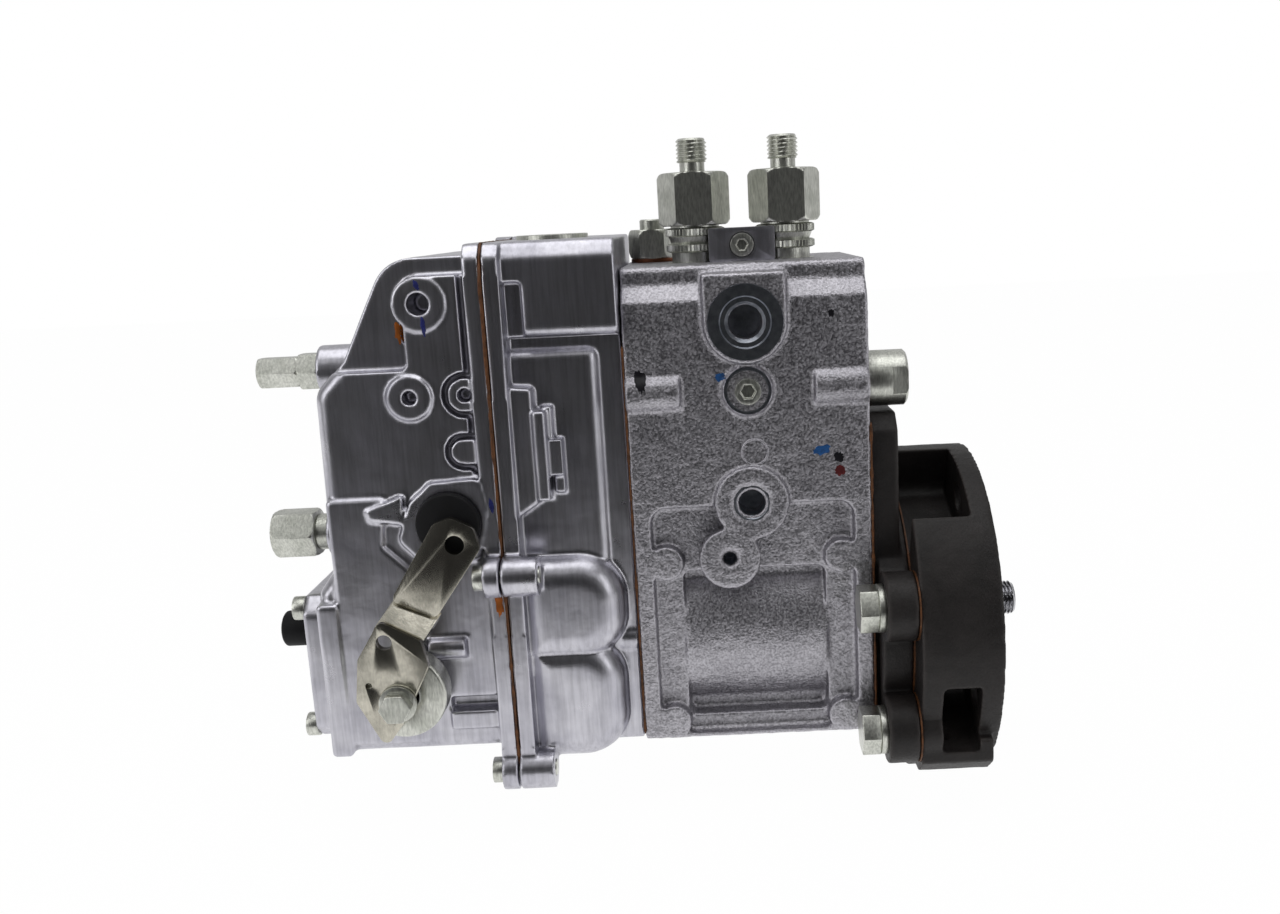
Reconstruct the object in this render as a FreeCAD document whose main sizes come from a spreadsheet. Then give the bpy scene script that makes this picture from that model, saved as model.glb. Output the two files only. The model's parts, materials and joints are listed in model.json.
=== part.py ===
"""Two-cylinder in-line diesel injection pump with a centrifugal governor, in millimetres.

The camshaft lies on the X axis and X = 0 is the face that bolts to the engine. The drive end
points to +X, the governor to -X, the side with the fuel inlet to -Y and the outlets to +Z.
"""
import FreeCAD, Part
import math
import os
import re

import Sketcher
from FreeCAD import Placement, Rotation, Vector

doc = FreeCAD.newDocument("DieselInjectionPump")
sheet = doc.addObject("Spreadsheet::Sheet", "Sizes")

# Driving dimensions
SIZES = {
    # clearances and joints
    "gasket_thick": 0.6,
    "running_fit": 0.03,
    "seat_fit": 0.02,
    "free_gap": 0.4,
    # pump housing
    "housing_length": 89,
    "housing_front": 42,
    "housing_rear": 38,
    "housing_top": 143.5,
    "housing_bottom": 37,
    "shoulder_height": 131,
    "band_height": 137,
    "band_inset": 6,
    "overflow_inset": 10.5,
    "cylinder_spacing": 35,
    "drive_cylinder_inset": 26,
    "cam_chamber_radius": 24,
    "bearing_seat_length": 14,
    "recess_depth": 5,
    "recess_top": 55,
    "recess_margin": 6.5,
    "window_half_width": 27,
    "window_height": 29,
    "window_floor": 30,
    "chamber_wall_radius": 38.5,
    "corner_boss_radius": 6.5,
    "inlet_height": 123,
    "inlet_boss_radius": 15,
    "inlet_boss_stand": 5,
    "inlet_spot_radius": 12.7,
    "inlet_bore_radius": 6.2,
    "inlet_bore_depth": 14,
    "bleed_height": 98,
    "bleed_boss_radius": 9.2,
    "bleed_thread_radius": 3,
    "lower_port_height": 56,
    "lower_port_pad_radius": 13.8,
    "lower_port_radius": 4.9,
    "small_port_height": 35,
    "small_port_offset": 9,
    "small_port_pad_radius": 11.5,
    "small_port_radius": 2.5,
    "port_depth": 12,
    # camshaft, tappets and plungers
    "base_circle_radius": 12,
    "cam_lift": 8,
    "cam_nose_radius": 5,
    "cam_width": 16,
    "shaft_radius": 10,
    "bearing_bore_radius": 8.5,
    "bearing_outer_radius": 20,
    "bearing_width": 12,
    "governor_shaft_radius": 6,
    "governor_shaft_length": 71.8,
    "taper_small_radius": 8,
    "taper_length": 22,
    "taper_end_inset": 3,
    "shaft_thread_radius": 7,
    "shaft_thread_stand": 19,
    "key_width": 4,
    "key_length": 12,
    "key_stand": 1.6,
    "roller_radius": 9,
    "roller_width": 9.5,
    "roller_pin_radius": 3,
    "tappet_radius": 14,
    "tappet_skirt": 6,
    "tappet_length": 22,
    "plunger_radius": 3.5,
    "plunger_length": 58,
    "plunger_foot_radius": 5,
    "plunger_foot_height": 2,
    "spring_seat_radius": 12.5,
    "spring_seat_thick": 2,
    "plunger_spring_radius": 10,
    "plunger_spring_wire": 1.5,
    "upper_seat_height": 78,
    # barrels, valves and outlets
    "barrel_bottom": 82,
    "barrel_top": 124,
    "barrel_radius": 9,
    "barrel_flange_radius": 11,
    "barrel_flange_height": 6,
    "valve_seat_radius": 9.5,
    "valve_seat_height": 8,
    "valve_stem_radius": 3,
    "valve_head_radius": 4.5,
    "valve_head_height": 4,
    "valve_spring_radius": 4.2,
    "valve_spring_wire": 0.6,
    "holder_root_radius": 11.2,
    "holder_bore_radius": 6,
    "holder_bore_height": 24,
    "holder_ring_radius": 11.3,
    "holder_ring_groove": 9.4,
    "holder_ring_pitch": 3.4,
    "holder_hex_bottom": 157.3,
    "holder_hex_top": 177,
    "holder_hex_across": 24,
    "holder_neck_radius": 4.7,
    "outlet_thread_radius": 6,
    "outlet_thread_bottom": 181,
    "outlet_top": 190,
    "outlet_bore_radius": 1.5,
    # control rack
    "rack_height": 98,
    "rack_forward": 26,
    "rack_radius": 5,
    "rack_tail": 17,
    "rack_cap_radius": 10.5,
    "rack_cap_length": 15.5,
    "rack_cap_wall": 4.5,
    "rib_radius": 7.6,
    "rib_forward": 38,
    "sleeve_radius": 12,
    "sleeve_height": 20,
    "arm_radius": 2,
    "arm_reach": 22.5,
    "ball_radius": 2.4,
    "rack_travel": 9,
    # drive end: bearing plate and engine adapter
    "adapter_length": 30,
    "adapter_radius": 65,
    "adapter_rim": 8,
    "foot_half_width": 60,
    "foot_depth": 50,
    "adapter_bore_radius": 32,
    "adapter_flange_thick": 8,
    "bolt_circle_radius": 53,
    "bolt_hole_radius": 5.3,
    "bolt_circle_turn": 67,
    "pocket_width": 26,
    "upper_pocket_width": 44,
    "plate_depth": 13,
    "plate_thick": 10,
    "plate_half_width": 39,
    "plate_top": 86,
    "ear_thick": 11.5,
    "ear_forward": 52,
    "ear_upper_height": 16,
    "ear_lower_height": 32,
    "ear_radius": 13,
    "ear_bolt_radius": 5,
    "ear_bolt_head": 7,
    "ear_bolt_across": 16,
    "washer_thick": 2.4,
    "washer_radius": 9,
    "seal_radius": 16,
    "seal_width": 7,
    # governor housing and cover
    "governor_length": 46.5,
    "governor_half_width": 50,
    "governor_top": 155,
    "governor_bottom": 46,
    "governor_wall": 6,
    "flange_thick": 6,
    "flange_lip": 4,
    "shelf_height": 121,
    "middle_block_front": 43,
    "neck_length": 8,
    "neck_front": 40,
    "dome_end": 13,
    "weight_chamber_radius": 41,
    "top_plug_radius": 13.5,
    "cover_length": 70,
    "cover_front": 50,
    "cover_upper_front": 43,
    "cover_step_height": 110,
    "cover_crown": 35,
    "cover_bottom": 33,
    "end_cover_thick": 7.5,
    "end_cover_half_width": 44,
    "end_cover_top": 27,
    "end_cover_bottom": 30,
    "cap_screw_radius": 3,
    "cap_head_radius": 4.8,
    "cap_head_height": 4,
    # governor parts
    "carrier_radius": 22,
    "carrier_thick": 6,
    "weight_pin_height": 20,
    "weight_pin_radius": 2,
    "weight_half_width": 12,
    "weight_length": 16,
    "weight_depth": 12,
    "slider_wall": 4,
    "slider_length": 30,
    "slider_flange_radius": 11.5,
    "tension_pivot_height": 25,
    "tension_pivot_inset": 15,
    "tension_width": 8,
    "tension_thick": 4,
    # control lever
    "lever_shaft_radius": 5,
    "lever_pivot_inset": 38,
    "lever_pivot_drop": 5,
    "crank_front": 32,
    "crank_height": 12,
    "lever_thick": 3,
    "lever_plate_front": 70,
    "lever_joggle": 9,
    "lever_turn": 23,
    "lever_reach": 60,
    "lever_width": 17,
    # fittings on the governor end
    "fitting_inset": 20,
    "full_load_height": 110,
    "idle_height": 47,
    "shut_off_height": 8,
}

for row, (alias, value) in enumerate(SIZES.items(), start=1):
    sheet.set(f"A{row}", alias)
    sheet.set(f"B{row}", str(value))
    sheet.setAlias(f"B{row}", alias)
doc.recompute()

# Places along the camshaft, worked out from the engine face
PLATE_LEFT = "(-adapter_length - gasket_thick - plate_depth)"
EAR_LEFT = "(-adapter_length - gasket_thick - ear_thick)"
HOUSING_RIGHT = f"({PLATE_LEFT} - gasket_thick)"
HOUSING_LEFT = f"({HOUSING_RIGHT} - housing_length)"
GOVERNOR_RIGHT = f"({HOUSING_LEFT} - gasket_thick)"
GOVERNOR_LEFT = f"({GOVERNOR_RIGHT} - governor_length)"
COVER_RIGHT = f"({GOVERNOR_LEFT} - gasket_thick)"
COVER_LEFT = f"({COVER_RIGHT} - cover_length)"
END_RIGHT = f"({COVER_LEFT} - gasket_thick)"
CYLINDERS = [
    f"({HOUSING_RIGHT} - drive_cylinder_inset - cylinder_spacing)",
    f"({HOUSING_RIGHT} - drive_cylinder_inset)",
]
OVERFLOW_X = f"({HOUSING_LEFT} + overflow_inset)"
MIDDLE = f"({HOUSING_RIGHT} - housing_length / 2)"
# Heights in the pumping line
ROLLER_HEIGHT = "(base_circle_radius + cam_lift + free_gap + roller_radius)"
TAPPET_TOP = f"({ROLLER_HEIGHT} - tappet_skirt + tappet_length)"
SEAT_TOP = "(barrel_top + valve_seat_height)"
# Governor stations
CARRIER_LEFT = f"({HOUSING_LEFT} - 25)"
WEIGHT_PIN = f"({CARRIER_LEFT} - 3)"
TENSION_X = f"({GOVERNOR_LEFT} - tension_pivot_inset)"
TENSION_FRONT = "(rack_forward - 6)"
LEVER_X = f"({COVER_RIGHT} - lever_pivot_inset)"

# Local Z of a piece points along the named axis; "y" looks out of the front, towards -Y
FRAMES = {
    "x": Rotation(Vector(0, 1, 0), Vector(0, 0, 1), Vector(1, 0, 0), "ZXY"),
    "y": Rotation(Vector(1, 0, 0), Vector(0, 0, 1), Vector(0, -1, 0), "ZXY"),
    "z": Rotation(),
}
nodes = {}
gaskets = []


def from_sheet(formula):
    """Writes each size in a formula as a reference to its cell."""
    def cell(match):
        word = match.group(0)
        return f"Sizes.{word}" if word in SIZES else word
    return re.sub(r"[A-Za-z_][A-Za-z_0-9]*", cell, str(formula))


def bind(thing, prop, formula):
    thing.setExpression(prop, from_sheet(formula))


def number(formula):
    """The value of a formula now, for choosing an edge or a first guess."""
    def value(match):
        word = match.group(0)
        return repr(float(SIZES[word])) if word in SIZES else word
    total = sheet.evalExpression(re.sub(r"[a-z_]{2,}", value, str(formula)))
    return float(getattr(total, "Value", total))


def put(thing, at, axis="z"):
    thing.Placement = Placement(Vector(), FRAMES[axis])
    for letter, formula in zip("xyz", at):
        bind(thing, f"Placement.Base.{letter}", formula)
    return thing


def cylinder(at, axis, radius, length):
    thing = doc.addObject("Part::Cylinder", "Round")
    bind(thing, "Radius", radius)
    bind(thing, "Height", length)
    return put(thing, at, axis)


def cone(at, axis, radius, end_radius, length):
    thing = doc.addObject("Part::Cone", "Taper")
    bind(thing, "Radius1", radius)
    bind(thing, "Radius2", end_radius)
    bind(thing, "Height", length)
    return put(thing, at, axis)


def hexagon(at, axis, across, length):
    thing = doc.addObject("Part::Prism", "Hexagon")
    thing.Polygon = 6
    bind(thing, "Circumradius", f"({across}) / sqrt(3)")
    bind(thing, "Height", length)
    return put(thing, at, axis)


def block(low, spans):
    """A box from its lowest corner and its three lengths."""
    thing = doc.addObject("Part::Box", "Block")
    for prop, formula in zip(("Length", "Width", "Height"), spans):
        bind(thing, prop, formula)
    return put(thing, low)


def ball(at, radius):
    thing = doc.addObject("Part::Sphere", "Ball")
    bind(thing, "Radius", radius)
    return put(thing, at)


def fused(*pieces):
    thing = doc.addObject("Part::MultiFuse", "Fused")
    thing.Shapes = list(pieces)
    thing.Refine = True
    return thing


def cut(base, *tools):
    thing = doc.addObject("Part::Cut", "Cut")
    thing.Base = base
    thing.Tool = tools[0] if len(tools) == 1 else fused(*tools)
    thing.Refine = True
    return thing


def common(base, tool):
    thing = doc.addObject("Part::Common", "Common")
    thing.Base = base
    thing.Tool = tool
    return thing


def group(*pieces):
    thing = doc.addObject("Part::Compound", "Group")
    thing.Links = list(pieces)
    return thing


def node(name, thing):
    thing.Label = name
    nodes[name] = thing
    return thing


def origin_plane(body, role):
    return next(f for f in body.Origin.OriginFeatures if f.Role == role)


def outline_sketch(body, role, points):
    """A closed outline whose every corner is held by two sizes."""
    sketch = body.newObject("Sketcher::SketchObject", "Outline")
    sketch.AttachmentSupport = [(origin_plane(body, role), "")]
    sketch.MapMode = "FlatFace"
    corners = [Vector(number(u), number(v), 0) for u, v in points]
    count = len(corners)
    for i in range(count):
        sketch.addGeometry(Part.LineSegment(corners[i], corners[(i + 1) % count]))
    for i in range(count):
        sketch.addConstraint(Sketcher.Constraint("Coincident", i, 2, (i + 1) % count, 1))
    for i, (point, corner) in enumerate(zip(points, corners)):
        for kind, formula, at in zip(("DistanceX", "DistanceY"), point, (corner.x, corner.y)):
            index = sketch.addConstraint(Sketcher.Constraint(kind, i, 1, at))
            bind(sketch, f"Constraints[{index}]", formula)
    return sketch


def edges_along(shape, direction):
    """Names of the straight edges that run along one direction."""
    found = []
    for i, edge in enumerate(shape.Edges, start=1):
        if edge.Curve.TypeId != "Part::GeomLine":
            continue
        if abs(edge.Curve.Direction.dot(direction)) > 0.999:
            found.append(f"Edge{i}")
    return found


def edge_over(shape, spot):
    """Name of the straight edge that stands on a point of the outline."""
    for name in edges_along(shape, Vector(0, 0, 1)):
        middle = shape.getElement(name).CenterOfMass
        if math.hypot(middle.x - spot.x, middle.y - spot.y) < 0.01:
            return name
    raise ValueError(f"no edge stands on {spot}")


def plate(axis, start, points, thick, corner=None, rim=None, rounds=None):
    """A plate of the given outline, from `start` along the axis.

    `corner` rounds every corner, `rounds` single corners by their number, `rim` the far edge.
    """
    body = doc.addObject("PartDesign::Body", "Plate")
    sketch = outline_sketch(body, "XY_Plane", points)
    pad = body.newObject("PartDesign::Pad", "Pad")
    pad.Profile = sketch
    bind(pad, "Length", thick)
    if corner:
        doc.recompute()
        body.Tip = soften(body, pad, edges_along(pad.Shape, Vector(0, 0, 1)), corner)
    for index, radius in (rounds or {}).items():
        doc.recompute()
        spot = Vector(number(points[index][0]), number(points[index][1]), 0)
        body.Tip = soften(body, body.Tip, [edge_over(body.Tip.Shape, spot)], radius)
    if rim:
        doc.recompute()
        tip = body.Tip
        top = max(face.CenterOfMass.z for face in tip.Shape.Faces)
        flat = [i for i, f in enumerate(tip.Shape.Faces, start=1) if abs(f.CenterOfMass.z - top) < 1e-6]
        body.Tip = soften(body, tip, [f"Face{flat[0]}"], rim)
    at = {"x": (start, 0, 0), "y": (0, start, 0), "z": (0, 0, start)}[axis]
    return put(body, at, axis)


def soften(body, base, parts, radius):
    fillet = body.newObject("PartDesign::Fillet", "Rounding")
    fillet.Base = (base, parts)
    bind(fillet, "Radius", radius)
    return fillet


def turned(at, axis, points):
    """A turned piece: its outline is given as (radius, distance along the axis)."""
    body = doc.addObject("PartDesign::Body", "Turned")
    sketch = outline_sketch(body, "XZ_Plane", points)
    turn = body.newObject("PartDesign::Revolution", "Turn")
    turn.Profile = sketch
    turn.ReferenceAxis = (sketch, ["V_Axis"])
    turn.Angle = 360
    return put(body, at, axis)


def rectangle(low_u, low_v, high_u, high_v):
    return [(low_u, low_v), (high_u, low_v), (high_u, high_v), (low_u, high_v)]


def helix(at, axis, radius, wire, length, turns):
    """A coil spring, swept along a helix."""
    path = doc.addObject("Part::Helix", "Coil")
    bind(path, "Pitch", f"({length} - 2 * {wire}) / {turns}")
    bind(path, "Height", f"{length} - 2 * {wire}")
    bind(path, "Radius", radius)
    path.SegmentLength = 1
    section = doc.addObject("Part::Circle", "Wire")
    bind(section, "Radius", wire)
    section.Placement = Placement(Vector(), Rotation(Vector(1, 0, 0), 90))
    bind(section, "Placement.Base.x", radius)
    sweep = doc.addObject("Part::Sweep", "Spring")
    sweep.Sections = [section]
    sweep.Spine = path
    sweep.Solid = True
    sweep.Frenet = True
    along = f"({at[2]}) + {wire}" if axis == "z" else at[2]
    start = (f"({at[0]}) + {wire}" if axis == "x" else at[0], at[1], along)
    return put(sweep, start, axis)


# Pump housing


def pump_housing():
    """The sand-cast housing: stepped front, ports, rib for the rack and the recessed lower panel."""
    front_profile = [
        ("-housing_front", "-housing_bottom"),
        ("housing_rear", "-housing_bottom"),
        ("housing_rear", "housing_top"),
        ("-housing_front + band_inset", "housing_top"),
        ("-housing_front + band_inset", "band_height"),
        ("-housing_front", "shoulder_height"),
    ]
    casting = plate("x", HOUSING_LEFT, front_profile, "housing_length", corner="2.5")
    panel = recessed_panel()
    stood = "-housing_front + 1"
    added = [
        # U-shaped boss round the inlet, running up to the top band
        cylinder((MIDDLE, stood, "inlet_height"), "y", "inlet_boss_radius", "inlet_boss_stand + 1"),
        block(
            (f"{MIDDLE} - inlet_boss_radius", "-housing_front - inlet_boss_stand", "inlet_height"),
            ("2 * inlet_boss_radius", "inlet_boss_stand + band_inset + 1", "housing_top - inlet_height - 3"),
        ),
        cylinder((MIDDLE, stood, "bleed_height"), "y", "bleed_boss_radius", "3"),
        cylinder((MIDDLE, stood, "lower_port_height"), "y", "lower_port_pad_radius", "3.5"),
        cylinder(
            (f"{MIDDLE} - small_port_offset", stood, "small_port_height"),
            "y", "small_port_pad_radius", "3.5",
        ),
    ]
    for start in (HOUSING_LEFT, f"{HOUSING_RIGHT} - 20"):
        added.append(cylinder((start, "-rib_forward", "rack_height"), "x", "rib_radius", "20"))
    body = fused(cut(casting, *panel["cuts"]), *panel["adds"], *added)
    bores = housing_bores()
    node("pump_housing", cut(body, *bores))


def recessed_panel():
    """The framed recess below the ports, its window and the four corner bosses."""
    left = f"({HOUSING_LEFT} + recess_margin)"
    right = f"({HOUSING_RIGHT} - recess_margin)"
    face = "-housing_front + recess_depth"
    frame = plate(
        "y", face,
        rectangle(left, "-housing_bottom + 2", right, "recess_top"),
        "recess_depth + 1", corner="6",
    )
    window = plate(
        "y", "-window_floor",
        rectangle(
            f"{MIDDLE} - window_half_width", "-window_height",
            f"{MIDDLE} + window_half_width", "window_height",
        ),
        "housing_front - window_floor + 1", corner="3",
    )
    barrel_wall = common(
        cylinder((HOUSING_LEFT, 0, 0), "x", "chamber_wall_radius", "housing_length"),
        block(
            (f"{MIDDLE} - window_half_width", "-housing_front", "-window_height + 1"),
            ("2 * window_half_width", "housing_front - 20", "2 * window_height - 2"),
        ),
    )
    bosses = []
    # each boss runs 1.5 mm into the frame beside it
    inset = "(corner_boss_radius - 1.5)"
    for x in (f"{left} + {inset}", f"{right} - {inset}"):
        for z in (f"-housing_bottom + 2 + {inset}", "window_height + corner_boss_radius - 2"):
            bosses.append(cylinder(
                (x, "-housing_front + recess_depth + 1", z), "y", "corner_boss_radius", "recess_depth + 1"
            ))
    return {"cuts": [frame, window], "adds": [barrel_wall] + bosses}


def housing_bores():
    bores = [
        cylinder((f"{HOUSING_LEFT} + bearing_seat_length", 0, 0), "x", "cam_chamber_radius", "housing_length"),
        cylinder((f"{HOUSING_LEFT} - 1", 0, 0), "x", "bearing_outer_radius + seat_fit", "housing_length"),
        cylinder(
            (f"{HOUSING_LEFT} - 1", "-rack_forward", "rack_height"),
            "x", "rack_radius + running_fit", "housing_length + 2",
        ),
        threaded_port(MIDDLE, "inlet_height", "inlet_bore_radius", "inlet_boss_stand", "inlet_bore_depth"),
        cylinder(
            (MIDDLE, "-housing_front - inlet_boss_stand + 1", "inlet_height"),
            "y", "inlet_spot_radius", "2",
        ),
        threaded_port(MIDDLE, "bleed_height", "bleed_thread_radius + seat_fit", "2", "port_depth"),
        threaded_port(MIDDLE, "lower_port_height", "lower_port_radius", "2.5", "port_depth"),
        cylinder((MIDDLE, "-housing_front - 1.5", "lower_port_height"), "y", "7.8", "2"),
        threaded_port(
            f"{MIDDLE} - small_port_offset", "small_port_height", "small_port_radius", "2.5", "port_depth"
        ),
        cylinder(
            (f"{MIDDLE} - small_port_offset", "-housing_front - 1.5", "small_port_height"), "y", "3.9", "2"
        ),
        cylinder((OVERFLOW_X, "20", "housing_top - 12"), "z", "6 + seat_fit", "20"),
    ]
    for x in CYLINDERS:
        bores += [
            cylinder((x, 0, 0), "z", "tappet_radius + running_fit", "upper_seat_height + spring_seat_thick"),
            cylinder((x, 0, "upper_seat_height"), "z", "sleeve_radius + free_gap", "sleeve_height + 9"),
            cylinder((x, 0, "barrel_bottom"), "z", "barrel_radius + seat_fit", "100"),
            cylinder(
                (x, 0, "barrel_top - barrel_flange_height"), "z", "barrel_flange_radius + seat_fit", "100"
            ),
            cylinder((x, 0, "barrel_top"), "z", "holder_root_radius + seat_fit", "100"),
            block(
                (f"{x} - 14", "-rack_forward - 3", "rack_height - 5"),
                ("28", "rack_forward + 3", "10"),
            ),
        ]
    return bores


def threaded_port(x, height, radius, stand, depth):
    return cylinder(
        (x, f"-housing_front + ({depth})", height), "y", radius, f"({depth}) + ({stand}) + 3"
    )


def rack_cap():
    """The hexagon-flatted cap over the drive end of the rack."""
    at = (HOUSING_RIGHT, "-rack_forward", "rack_height")
    shell = turned(at, "x", [
        ("rack_radius + 1", 0),
        ("rack_cap_radius", 0),
        ("rack_cap_radius", "rack_cap_length - 1"),
        ("rack_cap_radius - 1", "rack_cap_length"),
        (0, "rack_cap_length"),
        (0, "rack_cap_length - 1.2"),
        ("rack_radius + 1", "rack_cap_length - 1.2"),
    ])
    flat = block(
        (f"{HOUSING_RIGHT} + rack_cap_length - 6", "-rack_forward - rack_cap_radius - 1", "rack_height - 5"),
        ("7", "2.5", "10"),
    )
    node("rack_cap", cut(shell, flat))


def delivery_line():
    """Barrels, valve seats, valve springs and the two delivery valve holders."""
    barrels, seats, holders, springs = [], [], [], []
    for i, x in enumerate(CYLINDERS, start=1):
        barrels.append(turned((x, 0, 0), "z", [
            ("plunger_radius + running_fit", "barrel_bottom"),
            ("barrel_radius - 1.5", "barrel_bottom"),
            ("barrel_radius", "barrel_bottom + 2"),
            ("barrel_radius", "barrel_top - barrel_flange_height"),
            ("barrel_flange_radius", "barrel_top - barrel_flange_height"),
            ("barrel_flange_radius", "barrel_top"),
            ("plunger_radius + running_fit", "barrel_top"),
        ]))
        seats.append(turned((x, 0, 0), "z", [
            ("valve_stem_radius + running_fit", "barrel_top"),
            ("valve_seat_radius", "barrel_top"),
            ("valve_seat_radius", SEAT_TOP),
            ("valve_stem_radius + running_fit", SEAT_TOP),
        ]))
        holders.append(delivery_holder(x))
        spring_bottom = f"({SEAT_TOP} + valve_head_height + 0.3)"
        springs.append(helix(
            (x, 0, spring_bottom), "z", "valve_spring_radius", "valve_spring_wire",
            f"({SEAT_TOP} + holder_bore_height - 0.3 - {spring_bottom})", 5,
        ))
        node(f"delivery_valve_{i}", turned((x, 0, 0), "z", [
            (0, "barrel_top + 1"),
            ("valve_stem_radius", "barrel_top + 1"),
            ("valve_stem_radius", SEAT_TOP),
            ("valve_head_radius", f"{SEAT_TOP} + 0.05"),
            ("valve_head_radius", f"{SEAT_TOP} + valve_head_height - 1"),
            ("valve_head_radius - 2", f"{SEAT_TOP} + valve_head_height"),
            (0, f"{SEAT_TOP} + valve_head_height"),
        ]))
    node("plunger_barrels", group(*barrels))
    node("delivery_valve_seats", group(*seats))
    node("delivery_valve_holders", group(*holders))
    node("delivery_valve_springs", group(*springs))


def delivery_holder(x):
    """Root in the housing, two splined rings, the spanner hexagon and the threaded outlet."""
    ring = "holder_ring_radius"
    groove = "holder_ring_groove"
    low = "(housing_top + 4)"
    bore_top = f"({SEAT_TOP} + holder_bore_height)"
    stem = turned((x, 0, 0), "z", [
        ("holder_bore_radius", SEAT_TOP),
        ("holder_root_radius", SEAT_TOP),
        ("holder_root_radius", "housing_top"),
        (groove, "housing_top"),
        (groove, low),
        (ring, low),
        (ring, f"{low} + holder_ring_pitch - 0.4"),
        (groove, f"{low} + holder_ring_pitch"),
        (groove, f"{low} + 2 * holder_ring_pitch - 1"),
        (ring, f"{low} + 2 * holder_ring_pitch - 0.6"),
        (ring, f"{low} + 2 * holder_ring_pitch + 1.6"),
        (groove, f"{low} + 2 * holder_ring_pitch + 2"),
        (groove, "holder_hex_top"),
        ("holder_neck_radius", "holder_hex_top"),
        ("holder_neck_radius", "outlet_thread_bottom"),
        ("outlet_thread_radius", "outlet_thread_bottom + 0.8"),
        ("outlet_thread_radius", "outlet_top - 0.8"),
        ("outlet_thread_radius - 0.8", "outlet_top"),
        ("outlet_bore_radius + 2", "outlet_top"),
        ("outlet_bore_radius", "outlet_top - 3"),
        ("outlet_bore_radius", f"{bore_top} + 3"),
        ("holder_bore_radius", bore_top),
    ])
    spanner = cut(
        common(
            hexagon((x, 0, "holder_hex_bottom"), "z", "holder_hex_across", "holder_hex_top - holder_hex_bottom"),
            turned((x, 0, 0), "z", [
                (0, "holder_hex_bottom"),
                ("holder_hex_across / 2", "holder_hex_bottom"),
                ("holder_hex_across / 2 + 2", "holder_hex_bottom + 1.2"),
                ("holder_hex_across / 2 + 2", "holder_hex_top - 1.2"),
                ("holder_hex_across / 2", "holder_hex_top"),
                (0, "holder_hex_top"),
            ]),
        ),
        cylinder((x, 0, "holder_hex_bottom - 1"), "z", "holder_neck_radius - 0.5", "30"),
    )
    return fused(stem, spanner)


def holder_clamp():
    """The block that locks the splined rings of both holders, and its socket screw."""
    middle = f"(({CYLINDERS[0]} + {CYLINDERS[1]}) / 2)"
    reach = "(holder_ring_radius + 0.3)"
    clamp = cut(
        plate("y", "-6", rectangle(
            f"{middle} - 12.5", "housing_top", f"{middle} + 12.5", "housing_top + 12.5"
        ), "8.5", corner="0.8"),
        cylinder((CYLINDERS[0], 0, "housing_top - 1"), "z", reach, "20"),
        cylinder((CYLINDERS[1], 0, "housing_top - 1"), "z", reach, "20"),
        cylinder((middle, "1", "housing_top + 6"), "y", "3 + seat_fit", "30"),
        cylinder((middle, "-12.5", "housing_top + 6"), "y", "4.8", "10"),
    )
    node("holder_clamp", clamp)
    screw = cut(
        fused(
            cylinder((middle, "-6.4", "housing_top + 6"), "y", "3", "6.1"),
            cylinder((middle, "-12.5", "housing_top + 6"), "y", "4.4", "3.5"),
        ),
        hexagon((middle, "-14", "housing_top + 6"), "y", "4", "5"),
    )
    node("holder_clamp_screw", screw)


def bleed_screw():
    """The small socket-headed bleed screw below the inlet."""
    head = cylinder((MIDDLE, "-housing_front - 2", "bleed_height"), "y", "4.8", "3")
    shank = cylinder(
        (MIDDLE, "-housing_front + port_depth - 2", "bleed_height"), "y", "bleed_thread_radius", "port_depth"
    )
    socket = hexagon((MIDDLE, "-housing_front - 3", "bleed_height"), "y", "5", "3")
    node("bleed_screw", cut(fused(head, shank), socket))


def overflow_fitting():
    """The banjo hexagon behind the left holder and its copper washer."""
    x = OVERFLOW_X
    fitting = fused(
        cylinder((x, "20", "housing_top - 11"), "z", "6", "14"),
        hexagon((x, "20", "housing_top + 1.5"), "z", "17", "12"),
        cylinder((x, "20", "housing_top + 13"), "z", "5", "4"),
    )
    washer = cut(
        cylinder((x, "20", "housing_top"), "z", "9", "1.5"),
        cylinder((x, "20", "housing_top - 1"), "z", "6 + seat_fit", "4"),
    )
    node("overflow_fitting", fitting)
    node("overflow_washer", washer)


# Camshaft and plungers


def camshaft():
    """The shaft with its two cams, bearing seats, governor end, taper and thread."""
    drive_seat = f"({HOUSING_RIGHT} + 1)"
    shaft = turned((0, 0, 0), "x", [
        (0, f"{HOUSING_LEFT} - governor_shaft_length"),
        ("governor_shaft_radius - 1", f"{HOUSING_LEFT} - governor_shaft_length"),
        ("governor_shaft_radius", f"{HOUSING_LEFT} - governor_shaft_length + 1"),
        ("governor_shaft_radius", f"{CARRIER_LEFT} - 1"),
        ("bearing_bore_radius", f"{CARRIER_LEFT} - 1"),
        ("bearing_bore_radius", f"{HOUSING_LEFT} + bearing_seat_length"),
        ("shaft_radius + 1", f"{HOUSING_LEFT} + bearing_seat_length"),
        ("shaft_radius + 1", f"{HOUSING_RIGHT} - bearing_width - 1"),
        ("bearing_bore_radius", f"{HOUSING_RIGHT} - bearing_width - 1"),
        ("bearing_bore_radius", drive_seat),
        ("shaft_radius", drive_seat),
        ("shaft_radius", "-taper_end_inset - taper_length"),
        ("taper_small_radius", "-taper_end_inset"),
        ("shaft_thread_radius", "-taper_end_inset"),
        ("shaft_thread_radius", "shaft_thread_stand - 1"),
        ("shaft_thread_radius - 1", "shaft_thread_stand"),
        (0, "shaft_thread_stand"),
    ])
    cams = [cam(CYLINDERS[0], 90), cam(CYLINDERS[1], 180)]
    node("camshaft", cut(fused(shaft, *cams), key_box("key_width + 2 * seat_fit", 0.1)))
    node("camshaft_key", key_box("key_width", 0))


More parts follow.
